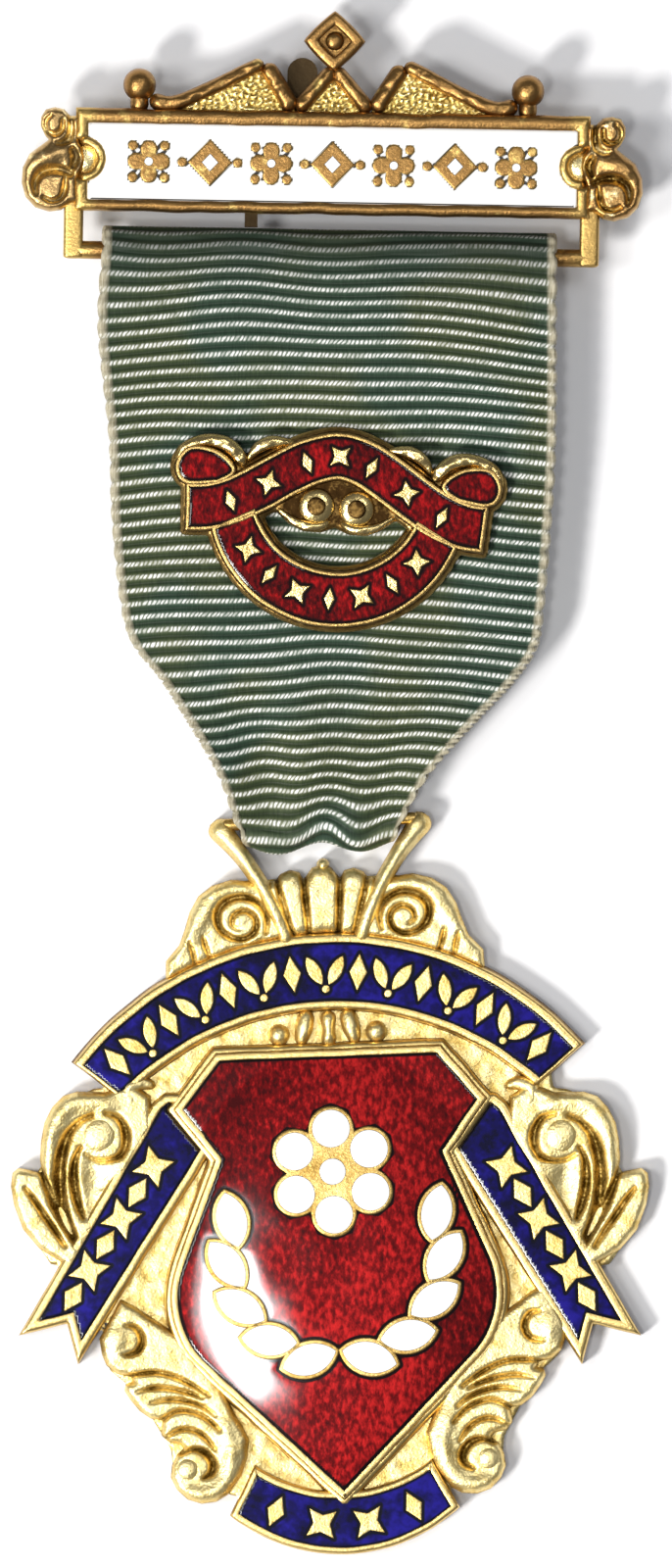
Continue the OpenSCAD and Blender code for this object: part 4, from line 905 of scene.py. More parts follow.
# %% Side scrolls
wing_line = [[6.2, 5.0], [6.99, 4.72], [7.9, 4.73], [8.33, 4.59], [8.66, 4.25], [8.9, 3.78],
             [9.01, 3.2], [9.04, 2.63], [8.98, 2.2], [9.28, 2.27], [9.71, 2.35], [9.9, 2.2],
             [9.95, 1.78], [9.85, 1.2], [9.57, 0.44], [9.04, -0.18], [8.33, -0.61], [8.1, -0.95],
             [6.9, 1.2], [5.5, 3.6], [5.6, 4.6]]
wing_cuts = [
    [[8.01, 0.27, 0.25, 0.5], [8.22, 0.73, 0.3, 0.65], [8.36, 1.3, 0.34, 0.75],
     [8.42, 1.87, 0.36, 0.8], [8.41, 2.44, 0.34, 0.75], [8.31, 3.0, 0.3, 0.65],
     [8.11, 3.47, 0.24, 0.5], [7.78, 3.82, 0.2, 0.4], [7.42, 3.99, 0.16, 0.25]],
    [[7.77, 2.99, 0.14, 0.3], [7.94, 2.63, 0.2, 0.5], [7.99, 2.2, 0.25, 0.65],
     [7.95, 1.68, 0.28, 0.7], [7.83, 1.2, 0.24, 0.6], [7.69, 0.8, 0.15, 0.4]],
    [[6.99, 4.06, 0.14, 0.3], [6.61, 3.92, 0.2, 0.45], [6.38, 3.54, 0.24, 0.6],
     [6.36, 3.11, 0.24, 0.6], [6.53, 2.75, 0.2, 0.5], [6.9, 2.6, 0.16, 0.4],
     [7.33, 2.61, 0.14, 0.3], [7.66, 2.8, 0.12, 0.2]],
    [[8.98, 2.2, 0.16, 0.4], [8.8, 1.73, 0.22, 0.6], [8.57, 1.2, 0.28, 0.7],
     [8.28, 0.68, 0.28, 0.7], [8.01, 0.16, 0.2, 0.5], [7.9, -0.1, 0.14, 0.3]],
    [[9.5, 1.73, 0.12, 0.3], [9.23, 1.38, 0.17, 0.45], [8.85, 0.82, 0.2, 0.5],
     [8.52, 0.35, 0.19, 0.45], [8.26, -0.08, 0.14, 0.3]],
    [[8.71, 2.4, 0.6, -0.15], [8.71, 3.2, 0.6, -0.3], [8.52, 3.78, 0.6, -0.3],
     [8.14, 4.25, 0.6, -0.3], [7.52, 4.42, 0.6, -0.25], [6.95, 4.37, 0.5, -0.2]],
    [[7.42, 2.35, 0.9, 0.35], [7.33, 1.87, 1.0, 0.5], [7.42, 1.2, 0.9, 0.4]],
]
curl_table = [[6.0, 3.95, 0.12, 0.4], [6.2, 4.35, 0.26, 0.6], [6.25, 4.8, 0.28, 0.6],
              [5.9, 5.0, 0.24, 0.55], [5.45, 4.9, 0.12, 0.4]]
wing = both([carved(wing_line, wing_cuts, unit, ground_t, carved_top)] + lobes([curl_table])
            + [knob(7.19, 3.38, 0.58, 0.72, rise=0.25)])
build("pendant_side_scrolls", moved(wing, on_wings, on_pendant), pendant_gilt,
      "pendant_body")

# %% Lower leaves
foot_line = [[7.23, -3.21], [7.1, -3.55], [6.77, -3.83], [6.37, -3.93], [6.28, -4.06],
             [6.53, -4.16], [6.57, -4.35], [6.39, -4.65], [6.12, -5.0], [5.78, -5.25],
             [5.43, -5.31], [5.45, -5.52], [5.48, -5.77], [5.26, -6.0], [4.9, -6.08],
             [4.79, -6.21], [5.01, -6.39], [5.18, -6.72], [5.23, -7.1], [5.05, -7.49],
             [4.73, -7.81], [4.3, -7.96], [3.83, -7.91], [3.48, -7.71], [3.03, -7.13],
             [2.82, -6.57], [2.75, -6.0], [2.93, -5.61], [3.15, -5.22], [3.5, -4.4], [4.2, -3.5],
             [4.8, -2.7], [5.62, -2.13], [6.17, -1.73], [6.6, -1.5], [7.3, -2.7]]
foot_cuts = [
    [[6.46, -2.32, 0.12, 0.2], [6.2, -2.36, 0.17, 0.4], [6.0, -2.59, 0.2, 0.5],
     [5.97, -2.88, 0.2, 0.5], [6.13, -3.14, 0.18, 0.45], [6.44, -3.24, 0.14, 0.35],
     [6.59, -3.22, 0.1, 0.15]],
    [[6.56, -3.93, 0.14, 0.35], [6.11, -3.84, 0.15, 0.4], [5.49, -3.82, 0.15, 0.4],
     [4.92, -3.99, 0.15, 0.4], [4.41, -4.27, 0.15, 0.4], [3.94, -4.6, 0.12, 0.25]],
    [[6.18, -4.4, 0.1, 0.15], [5.65, -4.29, 0.14, 0.35], [5.08, -4.34, 0.15, 0.4],
     [4.51, -4.5, 0.15, 0.4], [4.14, -4.66, 0.12, 0.2]],
    [[5.76, -4.76, 0.1, 0.15], [5.21, -4.67, 0.14, 0.35], [4.66, -4.73, 0.15, 0.4],
     [4.15, -4.93, 0.15, 0.4], [3.77, -5.22, 0.12, 0.25]],
    [[5.43, -5.29, 0.14, 0.4], [4.96, -5.04, 0.15, 0.4], [4.48, -5.08, 0.15, 0.4],
     [4.02, -5.3, 0.15, 0.4], [3.65, -5.7, 0.12, 0.25]],
    [[5.32, -5.83, 0.12, 0.2], [4.89, -5.62, 0.15, 0.35], [4.46, -5.65, 0.15, 0.4],
     [4.09, -5.9, 0.15, 0.4], [3.81, -6.29, 0.12, 0.25]],
    [[4.87, -6.38, 0.12, 0.3], [4.48, -6.24, 0.16, 0.45], [4.1, -6.38, 0.22, 0.6],
     [3.9, -6.7, 0.25, 0.65], [3.96, -7.0, 0.22, 0.5], [4.2, -7.15, 0.14, 0.3]],
    [[3.47, -5.6, 0.5, -0.15], [3.3, -6.4, 0.5, -0.25], [3.5, -7.2, 0.5, -0.25],
     [4.0, -7.6, 0.45, -0.25], [4.58, -7.58, 0.4, -0.2]],
    [[6.72, -2.7, 0.6, -0.2], [6.74, -2.95, 0.6, -0.2]],
]
foot = both([carved(foot_line, foot_cuts, unit, ground_t, carved_top),
             knob(4.69, -6.86, 0.44, 0.72, rise=0.35)])
build("pendant_lower_leaves", moved(foot, on_feet, on_pendant), pendant_gilt,
      "pendant_body")

# %% [markdown]
# ## Pendant: frames, motifs and crossbar
# Each enamelled band lies in a frame with a rounded, polished top, a moulding carried round its
# outline. Flat gilt motifs stand in the glass, level with the rims, because both are polished in
# one pass. Sprigs, florets and lozenges of about equal weight fill the bands evenly; each is a pad
# whose outline is one radius formula, which is lighter than a drawn curve for every motif.

# %% Pendant frames
foot_z = ground_t - 0.05
step_out, step_w = 0.42, 0.5


def band_frame(line, rims, seed, flare=0.14):
    """The frame of a blue band, whose outer slope is broad and steep."""
    profile = moulding(rim_w, band_floor_t - 0.1, band_t, foot_z, 0.1, 0.07, (0.26, 0.4), flare)
    return framed(line, rims, 0.25, profile, seed=seed)


SHIELD_RISE = 0.5


def dome(xy):
    """How far the shield's face stands up: its height times 1 - r to 3, which is nearly flat in the
    middle and steepest along the rim, and a slight wave as of fired glass."""
    x, y = xy[..., 0] / (5.3 * unit), (xy[..., 1] + 0.6 * unit) / unit
    inside = 1 - np.clip(x * x + (y / np.where(y > 0, 6.6, 7.4)) ** 2, 0, 1) ** 1.5
    return inside * (SHIELD_RISE + 0.004 * waves(xy, 4, 41))


def domed(points):
    """Lifts what lies on the shield's face by the dome."""
    out = points.copy()
    out[:, 2] += dome(points[:, :2]) * (points[:, 2] > shield_floor_t + 0.1)
    return out


frames = moved([band_frame(arc_line, arc_rims, 5),
                band_frame(inset(base_line, base_in_frame), base_rims, 6, flare=0)], on_pendant)
frames += moved(both([band_frame(side_line, rim_w, 7, flare=0.02)]), on_wings, on_pendant)
shield_profile = moulding(fine_rim_w, shield_floor_t - 0.1, shield_t, band_t - 0.05, 0.07, 0.06,
                          (0.12, 0.14), 0.08)
step_line = inset(shield_line, -step_out)
step_profile = moulding(step_w, band_t, band_t + 0.04, foot_z, 0.05, 0.04, (0.26, 0.4), 0.08)
frames += moved([
    framed(shield_line, fine_rim_w, 0.25, shield_profile, seed=8),
    framed(step_line, step_w, 0.25, step_profile, seed=9)], on_pendant)

# %% Motifs of the bands
def motif(radius, x, y, turn):
    """A flat motif: its radius formula, its place and its turn."""
    return {"radius": radius, "x": x, "y": y, "turn": turn}


def set_in(m, points):
    """Points round the origin, put where the motif is."""
    return shifted(turned(points, m["turn"]), m["x"], m["y"], 0)


def pads(motifs, low, top, **more):
    """One pad for each motif."""
    made = [pad(m["radius"], low, top, **more) for m in motifs]
    return [{**p, "points": set_in(m, p["points"])} for m, p in zip(motifs, made)]


def lines_of(motifs, count=24):
    """The outline of each motif."""
    return [set_in(m, outline_of(m["radius"], count)) for m in motifs]


def on_circle(r, y, angle):
    """The place straight above (0, y) at the distance r, turned about (0, y) by the angle."""
    return turned(np.array([0, r]), angle) + [0, y]


def sprig(size, x, y, turn):
    """Two leaves and a berry, placed round (x, y) and turned about it."""
    out = []
    for s in (-1, 1):
        at = turned(np.array([s * size * 0.26, size * 0.02]), turn)
        out.append(motif(leaf(size * 0.82, size * 0.34), x + at[0], y + at[1], turn + 90 - s * 28))
    at = turned(np.array([0, -size * 0.42]), turn)
    return out + [motif(disc(size * 0.11), x + at[0], y + at[1], turn)]


arc_step, base_step = 6.1, 17
arc_motifs = []
for k in range(-7, 8):
    at = on_circle(9.7 * unit, -1.22 * unit, -k * arc_step)
    if k % 2:
        arc_motifs.append(motif(lozenge(0.6 * unit, 1.25 * unit), *at, -k * arc_step))
    else:
        arc_motifs += sprig(1.3 * unit, *at, -k * arc_step)
side_turn = np.degrees(np.arctan2(-3.9, 2.4))
side_motifs = [motif(lozenge(1.15 * unit, 0.66 * unit) if k % 2 else floret(1.45 * unit),
                     (5.5 + 0.5 * k) * unit, (2.4 - 0.81 * k) * unit, side_turn)
               for k in range(6)]
base_motifs = []
for k in (-1.5, -0.5, 0.5, 1.5):
    at = on_circle(-5.0 * unit, -3.75 * unit, k * base_step)
    base_motifs.append(motif(lozenge(0.6 * unit, 1.1 * unit) if abs(k) > 1
                             else floret(1.3 * unit), *at, k * base_step))
marks = moved(pads(arc_motifs + base_motifs, band_floor_t, band_t), on_pendant)
marks += moved(both(pads(side_motifs, band_floor_t, band_t)), on_wings, on_pendant)
build("pendant_motifs", marks, pendant_gilt, "pendant_body")
frames.append(moved([beam((-horn_x, yoke_y, crossbar_z), (horn_x, yoke_y, crossbar_z),
                          crossbar_d, crossbar_d)], on_pendant)[0])

# %% Lines of the shield's motif
rosette_y, rosette_core, petal_r, petal_reach = 2.25 * unit, 0.42 * unit, 0.6 * unit, 1.34 * unit
wreath_y, wreath_r, leaf_l, leaf_w = -0.3 * unit, 3.4 * unit, 1.78 * unit, 0.98 * unit
leaf_first, leaf_step, leaf_lean = -74, 23.5, 58


def rosette(a):
    """Outline of six circles round a middle one: the largest radius that any of them reaches."""
    out = np.full(a.shape, petal_reach)
    for k in range(6):
        d = a - np.radians(30 + 60 * k)
        r = petal_r + wall_w
        inner = r * r - (petal_reach * np.sin(d)) ** 2
        hit = (inner > 0) & (np.cos(d) > 0)
        out = np.where(hit, np.maximum(out, petal_reach * np.cos(d) + np.sqrt(np.maximum(inner, 0))),
                       out)
    return out


def wreath(grow):
    """Ten leaves round a circle, each leaning on its place."""
    out = []
    for k in range(5):
        angle = leaf_first + k * leaf_step
        at = turned(np.array([wreath_r, 0]), angle) + [0, wreath_y]
        for place, turn in ((at, angle + leaf_lean), (flip(at), 180 - angle - leaf_lean)):
            out.append(motif(leaf(leaf_l + 2 * grow, leaf_w + 2 * grow), *place, turn))
    return out


rosette_line = motif(rosette, 0, rosette_y, 0)
petals = [motif(disc(petal_r), *(turned(np.array([petal_reach, 0]), 30 + 60 * k)
                                 + [0, rosette_y]), 0) for k in range(6)]
core = motif(disc(rosette_core), 0, rosette_y, 0)
charge_gold = pads([rosette_line], shield_floor_t, shield_t, count=144, bevel=0.08)
charge_gold += pads(wreath(wall_w), shield_floor_t, shield_t, bevel=0.08)
frames += moved(charge_gold, domed, on_pendant)
build("pendant_frames", frames, rim_gilt, "pendant_body")
white = pads(petals + [core], shield_t - 0.3, shield_t + 0.03, bevel=0.05, crown=0.05)
white += pads(wreath(0), shield_t - 0.3, shield_t + 0.03, bevel=0.05, crown=0.05)
build("charge_glass", moved(white, domed, on_pendant), white_glass,
      "charge_enamel")

# %% [markdown]
# ## Pendant: the enamel
# The glass in each cell is a sheet cut a little under the frame round it. Its face sinks slightly
# towards every metal line, as fired enamel does, and the edge mark tells the finish how near the
# closest line is. Letting a flat plate stand for the glass would lose the soft glint along the rims.

# %% Blue bands and red shield
def glass_sheet(line, rims, low, top, pitch, gold, sink=0.008, reach=0.45, under=0.06,
                keep_off=None):
    """Enamel inside a frame: its height is the top less sink times exp(-distance to gold / 0.25)."""
    hole = inset(line, rims)
    cell = joined(inset(line, np.asarray(rims) - under))
    field = cell if keep_off is None else (lambda xy: np.maximum(cell(xy), -keep_off(xy)))
    lines = lines_of(gold) + [hole]

    def gap(xy):
        near = np.min([to_line(xy, one) for one in lines], axis=0)
        return near if keep_off is None else np.minimum(near, np.abs(keep_off(xy)))

    corner, far = line.min(0) - pitch, line.max(0) + pitch
    return sheet_of(field, corner, far, pitch,
                    lambda xy, deep: top - sink * np.exp(-gap(xy) / 0.25), low,
                    edge=lambda xy, deep: np.clip(1 - gap(xy) / reach, 0, 1))


def band_glass(line, rims, gold, **more):
    """Enamel of a blue band, just under the tops of its rims."""
    return glass_sheet(line, rims, band_floor_t, band_t - 0.02, 0.16, gold, **more)


shield_on_wing = turned(shifted(step_line, wing_shift, 0), -wing_turn)
build("arc_glass", moved([band_glass(arc_line, arc_rims, arc_motifs)], on_pendant),
      blue_glass, "arc_enamel")
build("base_glass", moved([band_glass(base_line, base_rims, base_motifs)], on_pendant),
      blue_glass, "base_enamel")
for name, step in (("right", lambda p: p), ("left", flip)):
    keep_off = joined(anticlockwise(step(shield_on_wing)))
    piece = [band_glass(side_line, rim_w, side_motifs, keep_off=keep_off)]
    build("side_glass_" + name, moved(piece, step, on_wings, on_pendant),
          blue_glass, "side_enamel_" + name)
shield_glass = glass_sheet(shield_line, fine_rim_w, shield_floor_t, shield_t - 0.04, 0.15,
                           [rosette_line] + wreath(wall_w), reach=0.6)
build("shield_glass", moved([shield_glass], domed, on_pendant), red_glass,
      "shield_enamel")

# %% [markdown]
# ## Brooch bar
# The bar is a long frame round white enamel. A pediment stands on it: two lines that rise to a
# lozenge, with bright stippled ground between them, and a ball at each side. Scrolls close its ends,
# and a square wire hanger below carries the ribbon. The raised parts have worn to copper while the
# sunk parts kept their gold, so the two are separate objects with separate finishes.

# %% Bar frame and hanger
bar_box = np.array([[bar_w / 2, -bar_h / 2], [bar_w / 2, bar_h / 2], [-bar_w / 2, bar_h / 2],
                    [-bar_w / 2, -bar_h / 2]])
bar_rims = np.array([bar_rim_end, bar_rim_top, bar_rim_end, bar_rim_foot])
bump_x = bar_w / 2 - 0.55
wire_up = wire_z - pin_stand
leg_x = bar_w / 2 + 0.05
round_rim = moulding(bar_rim_end, bar_floor_t - 0.05, bar_t, 0.5, 0.03, 0.3, (0.32, 0.5), 0.0,
                     0.06)


def gold_left(shapes, share):
    """Marks how much gold is left on each point, as a function of its place."""
    return [{**s, "edge": np.clip(share(s["points"]), 0, 1)} for s in shapes]


def towards_ends(points):
    """The gilding has lasted at both ends of the bar and of its wire, most of all on the left."""
    x = points[:, 0]
    return 0.7 * ease((np.abs(x) - bar_w / 2 + 1.7) / 0.9) * np.where(x < 0, 1, 0.7)


def broken(xy):
    """The frame's ends dip under the round bumps."""
    away = np.hypot(np.abs(xy[..., 0]) - bump_x, xy[..., 1])
    return -0.85 * ease((bump_r - 0.1 - away) / 0.25)


worn = gold_left([framed(bar_box, bar_rims, 0.3, round_rim, seed=11, wobble=0.02, raised=broken)],
                 towards_ends)


def ring_line(x, y, r, steps=48):
    """A circle as a closed outline."""
    return arc((x, y), r, 0, 360, steps)[:-1]


bump_half = bump_wall / 2
bump_line = arc((bump_x, 0), bump_r - bump_half, 78, 282, 12)
bump_table = np.column_stack([bump_line, np.full(13, bump_half + 0.1), np.ones(13)])
worn += gold_left(both([lobe(bump_table, 1, 0.8, bar_t - 0.75, 0.05, fullness=0.3)]),
                  lambda points: np.full(len(points), 0.85))
worn += gold_left(both([beam((leg_x, -bar_h / 2 + 1.0, wire_up), (leg_x, -wire_drop - 0.6, wire_up),
                             leg_w, wire_d, power=5, taper=0.2)])
                  + [beam((-leg_x, -wire_drop, wire_up), (leg_x, -wire_drop, wire_up), wire_d,
                          wire_d)], towards_ends)

# %% End scrolls, crest lines and finial
end_line = [[-0.5, 4.2], [0.57, 4.2], [1.17, 4.82], [2.06, 5.0], [2.96, 4.76], [3.41, 4.01],
            [3.41, 3.11], [2.96, 2.22], [2.6, 1.83], [3.26, 1.32], [4.45, 0.43], [5.1, -0.92],
            [5.2, -2.41], [4.8, -3.76], [3.85, -4.75], [2.51, -5.15], [1.32, -4.98],
            [0.42, -4.35], [-0.5, -4.3], [-0.3, -1.9], [-0.75, -1.0], [-0.9, 0.0], [-0.75, 1.0],
            [-0.3, 1.9]]
end_cuts = [
    [[0.5, 4.2, 0.14, 0.3], [0.42, 3.0, 0.2, 0.6], [0.62, 1.95, 0.22, 0.6], [1.3, 1.5, 0.18, 0.4],
     [1.9, 1.5, 0.12, 0.2]],
    [[1.25, 3.75, 0.12, 0.3], [1.32, 2.8, 0.15, 0.4], [2.1, 2.35, 0.15, 0.4],
     [2.85, 2.85, 0.15, 0.4], [2.9, 3.7, 0.14, 0.35], [2.4, 4.2, 0.12, 0.25]],
    [[3.75, -3.5, 0.14, 0.3], [3.9, -2.5, 0.2, 0.5], [3.45, -1.55, 0.24, 0.6],
     [2.55, -1.1, 0.26, 0.65], [1.4, -1.1, 0.24, 0.6], [0.4, -1.5, 0.2, 0.5]],
    [[0.9, -1.9, 0.14, 0.3], [0.98, -3.0, 0.18, 0.45], [1.35, -3.85, 0.16, 0.45],
     [2.21, -4.15, 0.14, 0.35], [3.1, -3.8, 0.12, 0.3]],
    [[0.25, 0.9, 0.2, 0.5], [-0.1, 0.1, 0.26, 0.65], [0.2, -0.8, 0.2, 0.5]],
    [[1.3, 0.6, 0.5, -0.15], [2.4, 0.3, 0.6, -0.25], [3.6, -0.4, 0.5, -0.2]],
]
ogee_table = [[0.715, 0.1, 0.66, 0.9], [0.655, 0.055, 0.62, 0.95], [0.6, 0.075, 0.6, 1],
              [0.53, 0.15, 0.58, 1], [0.43, 0.27, 0.58, 1], [0.35, 0.375, 0.58, 1],
              [0.275, 0.47, 0.54, 1]]


def on_crest(table):
    """Shares of half the bar's length, the crest's height and the line's width, as millimetres."""
    t = np.array(table, float)
    return np.column_stack([t[:, 0] * bar_w / 2, bar_h / 2 + t[:, 1] * crest_h,
                            t[:, 2] * crest_line, t[:, 3]])


def to_end(points):
    """What is drawn round the bar's right end, moved there."""
    return shifted(points, bar_w / 2, 0, 0)


ends = [carved(end_line, end_cuts, end_unit, 0.9, bar_t + 0.05, soft=0.45, base=0.03),
        boss(2.12 * end_unit, 3.3 * end_unit, 0.62 * end_unit, bar_t, 0.05, rise=0.3),
        boss(2.3 * end_unit, -2.85 * end_unit, 0.72 * end_unit, bar_t, 0.05, rise=0.3)]
ends = gold_left(both(moved(ends, to_end)), lambda points: np.where(points[:, 0] < 0, 0.15, 0))
build("bar_ends", moved(ends, on_bar), end_gilt, "brooch_bar")
strokes = [[[0.268, 0.455, 0.7, 1], [0.213, 0.24, 0.7, 1], [0.158, 0.01, 0.7, 1]],
           [[0.0, 0.42, 0.64, 0.98], [0.07, 0.22, 0.64, 0.98], [0.14, 0.01, 0.64, 0.98]]]
worn += both([lobe(on_crest(t), 1, bar_t * 0.35, bar_t * 0.6, 0.03, steps=12, fullness=0.3,
                   rough=0.03) for t in [ogee_table] + strokes])
ball_x, ball_y = 0.755 * bar_w / 2, bar_h / 2 + 0.235 * crest_h
worn += both([boss(ball_x, ball_y, crest_ball_r, bar_t + 0.25, 0.05, rise=0.62, count=48),
              lobe([[ball_x, bar_h / 2 - 0.3, 0.62, 1], [ball_x, ball_y - 0.4, 0.6, 1]], 1,
                   bar_t * 0.3, bar_t * 0.5, 0.03, steps=12)])
finial_r, finial_y = 0.305 * crest_h, bar_h / 2 + 0.69 * crest_h


def rounded_square(a, power=1.12):
    """A square standing on its corner: |cos| and |sin| to a power a little over 1, whose root
    rounds its corners."""
    spread_out = np.abs(np.cos(a)) ** power + np.abs(np.sin(a)) ** power
    return (finial_r - 0.06) / spread_out ** (1 / power)


finial_line = outline_of(rounded_square, 96)
finial_rim = moulding(finial_r * 0.48, 0.85, bar_t * 0.9, 0.4, 0.05, 0.2, (0.34, 0.4), 0.0, 0.05)
worn += moved([rim(finial_line, finial_line * 0.52, finial_rim, seed=13),
               pad(lambda a: rounded_square(a) * 0.6, 0.05, 0.9, count=96)],
              lambda p: shifted(p, 0, finial_y, 0))
worn.append(boss(0, finial_y, finial_r / 3.4, bar_t * 0.95, 0.3, rise=0.35))
bar_motifs, bar_eyes, motif_y, dot = [], [], -0.1, disc(bar_h * 0.05)
for k in range(-3, 4):
    at = k * bar_w * 0.119
    if k % 2:
        bar_motifs.append(motif(quatrefoil(bar_h * 0.42), at, motif_y, 0))
        bar_motifs += [motif(dot, at + s * bar_h * 0.155, motif_y + t * bar_h * 0.155, 0)
                       for s in (-1, 1) for t in (-1, 1)]
        bar_eyes.append(motif(disc(bar_h * 0.045), at, motif_y, 0))
    else:
        bar_motifs.append(motif(lozenge(bar_h * 0.44, bar_h * 0.46), at, motif_y, 0))
        bar_eyes.append(motif(lozenge(bar_h * 0.17, bar_h * 0.18), at, motif_y, 0))
        bar_motifs += [motif(dot, at + s * bar_h * 0.27, motif_y, 0) for s in (-1, 1)]
worn += pads(bar_motifs, bar_floor_t, bar_t - 0.05)
build("bar_metal", moved(worn, on_bar), bar_gilt, "brooch_bar")

# %% Bright grounds and the white field
crest_grounds = [np.array([[x * bar_w / 2, bar_h / 2 + y * crest_h] for x, y in (
    (0.62, -0.03), (0.53, 0.16), (0.43, 0.29), (0.35, 0.4), (0.285, 0.48), (0.16, 0.08),
    (0.14, -0.03))])]
crest_grounds += [flip(crest_grounds[0]), np.array(
    [[-0.07 * bar_w, bar_h / 2 - 0.2], [0.07 * bar_w, bar_h / 2 - 0.2],
     [0, bar_h / 2 + 0.38 * crest_h]])]


def stippled(xy, deep):
    """Punched ground: only the upper halves of quick waves stand up, so it is full of small dots."""
    return bar_floor_t + 0.12 * np.clip(waves(xy, 0.3, 14), 0, 1.2)


# The crest mark follows the same waves, so the colour darkens between the dots as painted shade.
sunk = [sheet_of(joined(*crest_grounds), (-11, 3), (11, 7.2), 0.1, stippled, 0.04,
                 crest=lambda xy, deep: np.clip(0.28 + 0.3 * waves(xy, 0.3, 14), 0, 1))]
sunk.append(pad(lambda a: 1 / np.maximum(np.abs(np.cos(a)) * 2 / (bar_w - 0.4),
                                         np.abs(np.sin(a)) * 2 / (bar_h - 0.4)),
                0.0, bar_floor_t - 0.2, count=256))
sunk += both([boss(bump_x, 0, bump_r - bump_wall + 0.16, 1.2, 0.05, rise=0.3)])
build("bar_grounds", moved(sunk, on_bar), recess_gilt, "brooch_bar")
bumps = joined(ring_line(bump_x, 0, bump_r - 0.08), ring_line(-bump_x, 0, bump_r - 0.08))
field = glass_sheet(bar_box, bar_rims, bar_floor_t - 0.1, bar_t - 0.12, 0.16, bar_motifs,
                    reach=0.16, keep_off=bumps)
build("bar_field", moved([field] + pads(bar_eyes, bar_floor_t, bar_t - 0.02, bevel=0.04), on_bar),
      white_glass, "bar_enamel")

# %% [markdown]
# ## Badge
# The badge is one small plate on the ribbon: a bent banner over a crescent, with two loops, curled
# borders and two rosettes that stand highest. Its lines are only a quarter of a millimetre wide,
# with a lower skirt round them, and it leans back with the cloth under it.

# %% Badge outlines
banner_half = [[0, 4.4], [1.5, 4.05], [2.8, 3.38], [4.75, 2.13], [6.3, 1.25], [7.7, 0.8],
               [9.05, 0.68]]
banner_spine = curve(np.concatenate([flip(np.array(banner_half))[::-1], banner_half[1:]]), 6)
banner_ahead = np.gradient(banner_spine, axis=0)
banner_ahead /= np.linalg.norm(banner_ahead, axis=1, keepdims=True)
banner_side = np.stack([-banner_ahead[:, 1], banner_ahead[:, 0]], 1) * 1.42
banner_line = anticlockwise(badge_unit * np.concatenate(
    [banner_spine + banner_side, (banner_spine - banner_side)[::-1]]))
crescent_line = anticlockwise(badge_unit * np.concatenate([
    arc((0, 1.9), 7.8, -17.5, -162.5, 56), arc((0, 2.6), 5.17, -161, -19, 40)]))
loop_line = anticlockwise(badge_unit * np.array([
    [6.45, 3.05], [7.2, 3.85], [8.2, 4.15], [9.1, 4.05], [9.6, 3.3], [9.45, 2.55], [8.8, 2.25],
    [7.3, 2.45]]))
loop_line = inset(anticlockwise(curve(np.concatenate([loop_line, loop_line[:1]]), 5)[:-1]),
                  -badge_rim)
lens_ground = badge_unit * np.array([
    [3.9, 1.0], [2.8, 0.1], [1.9, -0.3], [0.85, -0.3], [0, 0.05], [-0.85, -0.3], [-1.9, -0.3],
    [-2.8, 0.1], [-3.9, 1.0], [-2.8, 2.7], [0, 3.6], [2.8, 2.7]])

# %% Badge metal
skirt = 0.34 * badge_unit
badge_lines = joined(banner_line, crescent_line, loop_line, flip(loop_line))
lens_line = joined(lens_ground)


def badge_field(xy):
    """The lines with their skirt, and the pierced lens's ground."""
    return np.minimum(badge_lines(xy) - skirt, lens_line(xy))


def skirt_top(xy, deep):
    """The skirt is rounded along its edge over a third of a millimetre."""
    return badge_t * 0.68 - 0.3 * np.clip(1 + deep / 0.35, 0, 1) ** 2 + 0.015 * waves(xy, 0.6, 21)


badge_shapes = [sheet_of(badge_field, (-11.6, -7.6), (11.6, 7.2), 0.17, skirt_top, 0.0,
                         crest=lambda xy, deep: np.clip(0.35 + 0.5 * (1 + deep / 0.35), 0, 0.8))]
fine = moulding(badge_rim, badge_floor_t - 0.05, badge_t, badge_t * 0.6, 0.05, 0.04, (0.1, 0.12),
                0.14, 0.0)
badge_shapes += [framed(line, badge_rim, 0.2, fine, seed=22, wobble=0.01)
                 for line in (banner_line, crescent_line)]
badge_shapes += both([framed(loop_line, badge_rim, 0.2, fine, seed=23, wobble=0.01)])
edge_tables = [
    [[9.8, 2.9, 0.2, 0.3], [9.45, 4.1, 0.3, 0.6], [8.3, 4.7, 0.36, 0.8], [6.95, 4.6, 0.45, 1],
     [6.0, 3.85, 0.4, 0.9], [5.7, 3.3, 0.15, 0.4]],
    [[5.6, 3.7, 0.12, 0.3], [5.0, 4.5, 0.34, 0.85], [4.1, 4.95, 0.36, 0.9],
     [2.8, 4.95, 0.15, 0.4]],
    [[0.3, 0.5, 0.2, 0.3], [1.1, 0.05, 0.3, 0.8], [2.3, 0.2, 0.3, 0.8], [3.6, 1.0, 0.12, 0.3]]]
eye_x, eye_y = 1.22 * badge_unit, 1.3 * badge_unit
curls = both(
    [lobe(t, badge_unit, badge_t * 0.58, badge_t * 0.5, 0.05, rough=0.03) for t in edge_tables]
    + [boss(eye_x, eye_y, 1.1 * badge_unit, badge_t * 1.05, 0.05, 0.4)])
middle = pad(disc(0.6 * badge_unit), 0.3, badge_t * 1.08, bevel=0.16)
middle["crest"] = middle["crest"] * 0.2
badge_shapes += both(moved([middle], lambda p: shifted(p, eye_x, eye_y, 0)))
banner_motifs, crescent_motifs = [], []
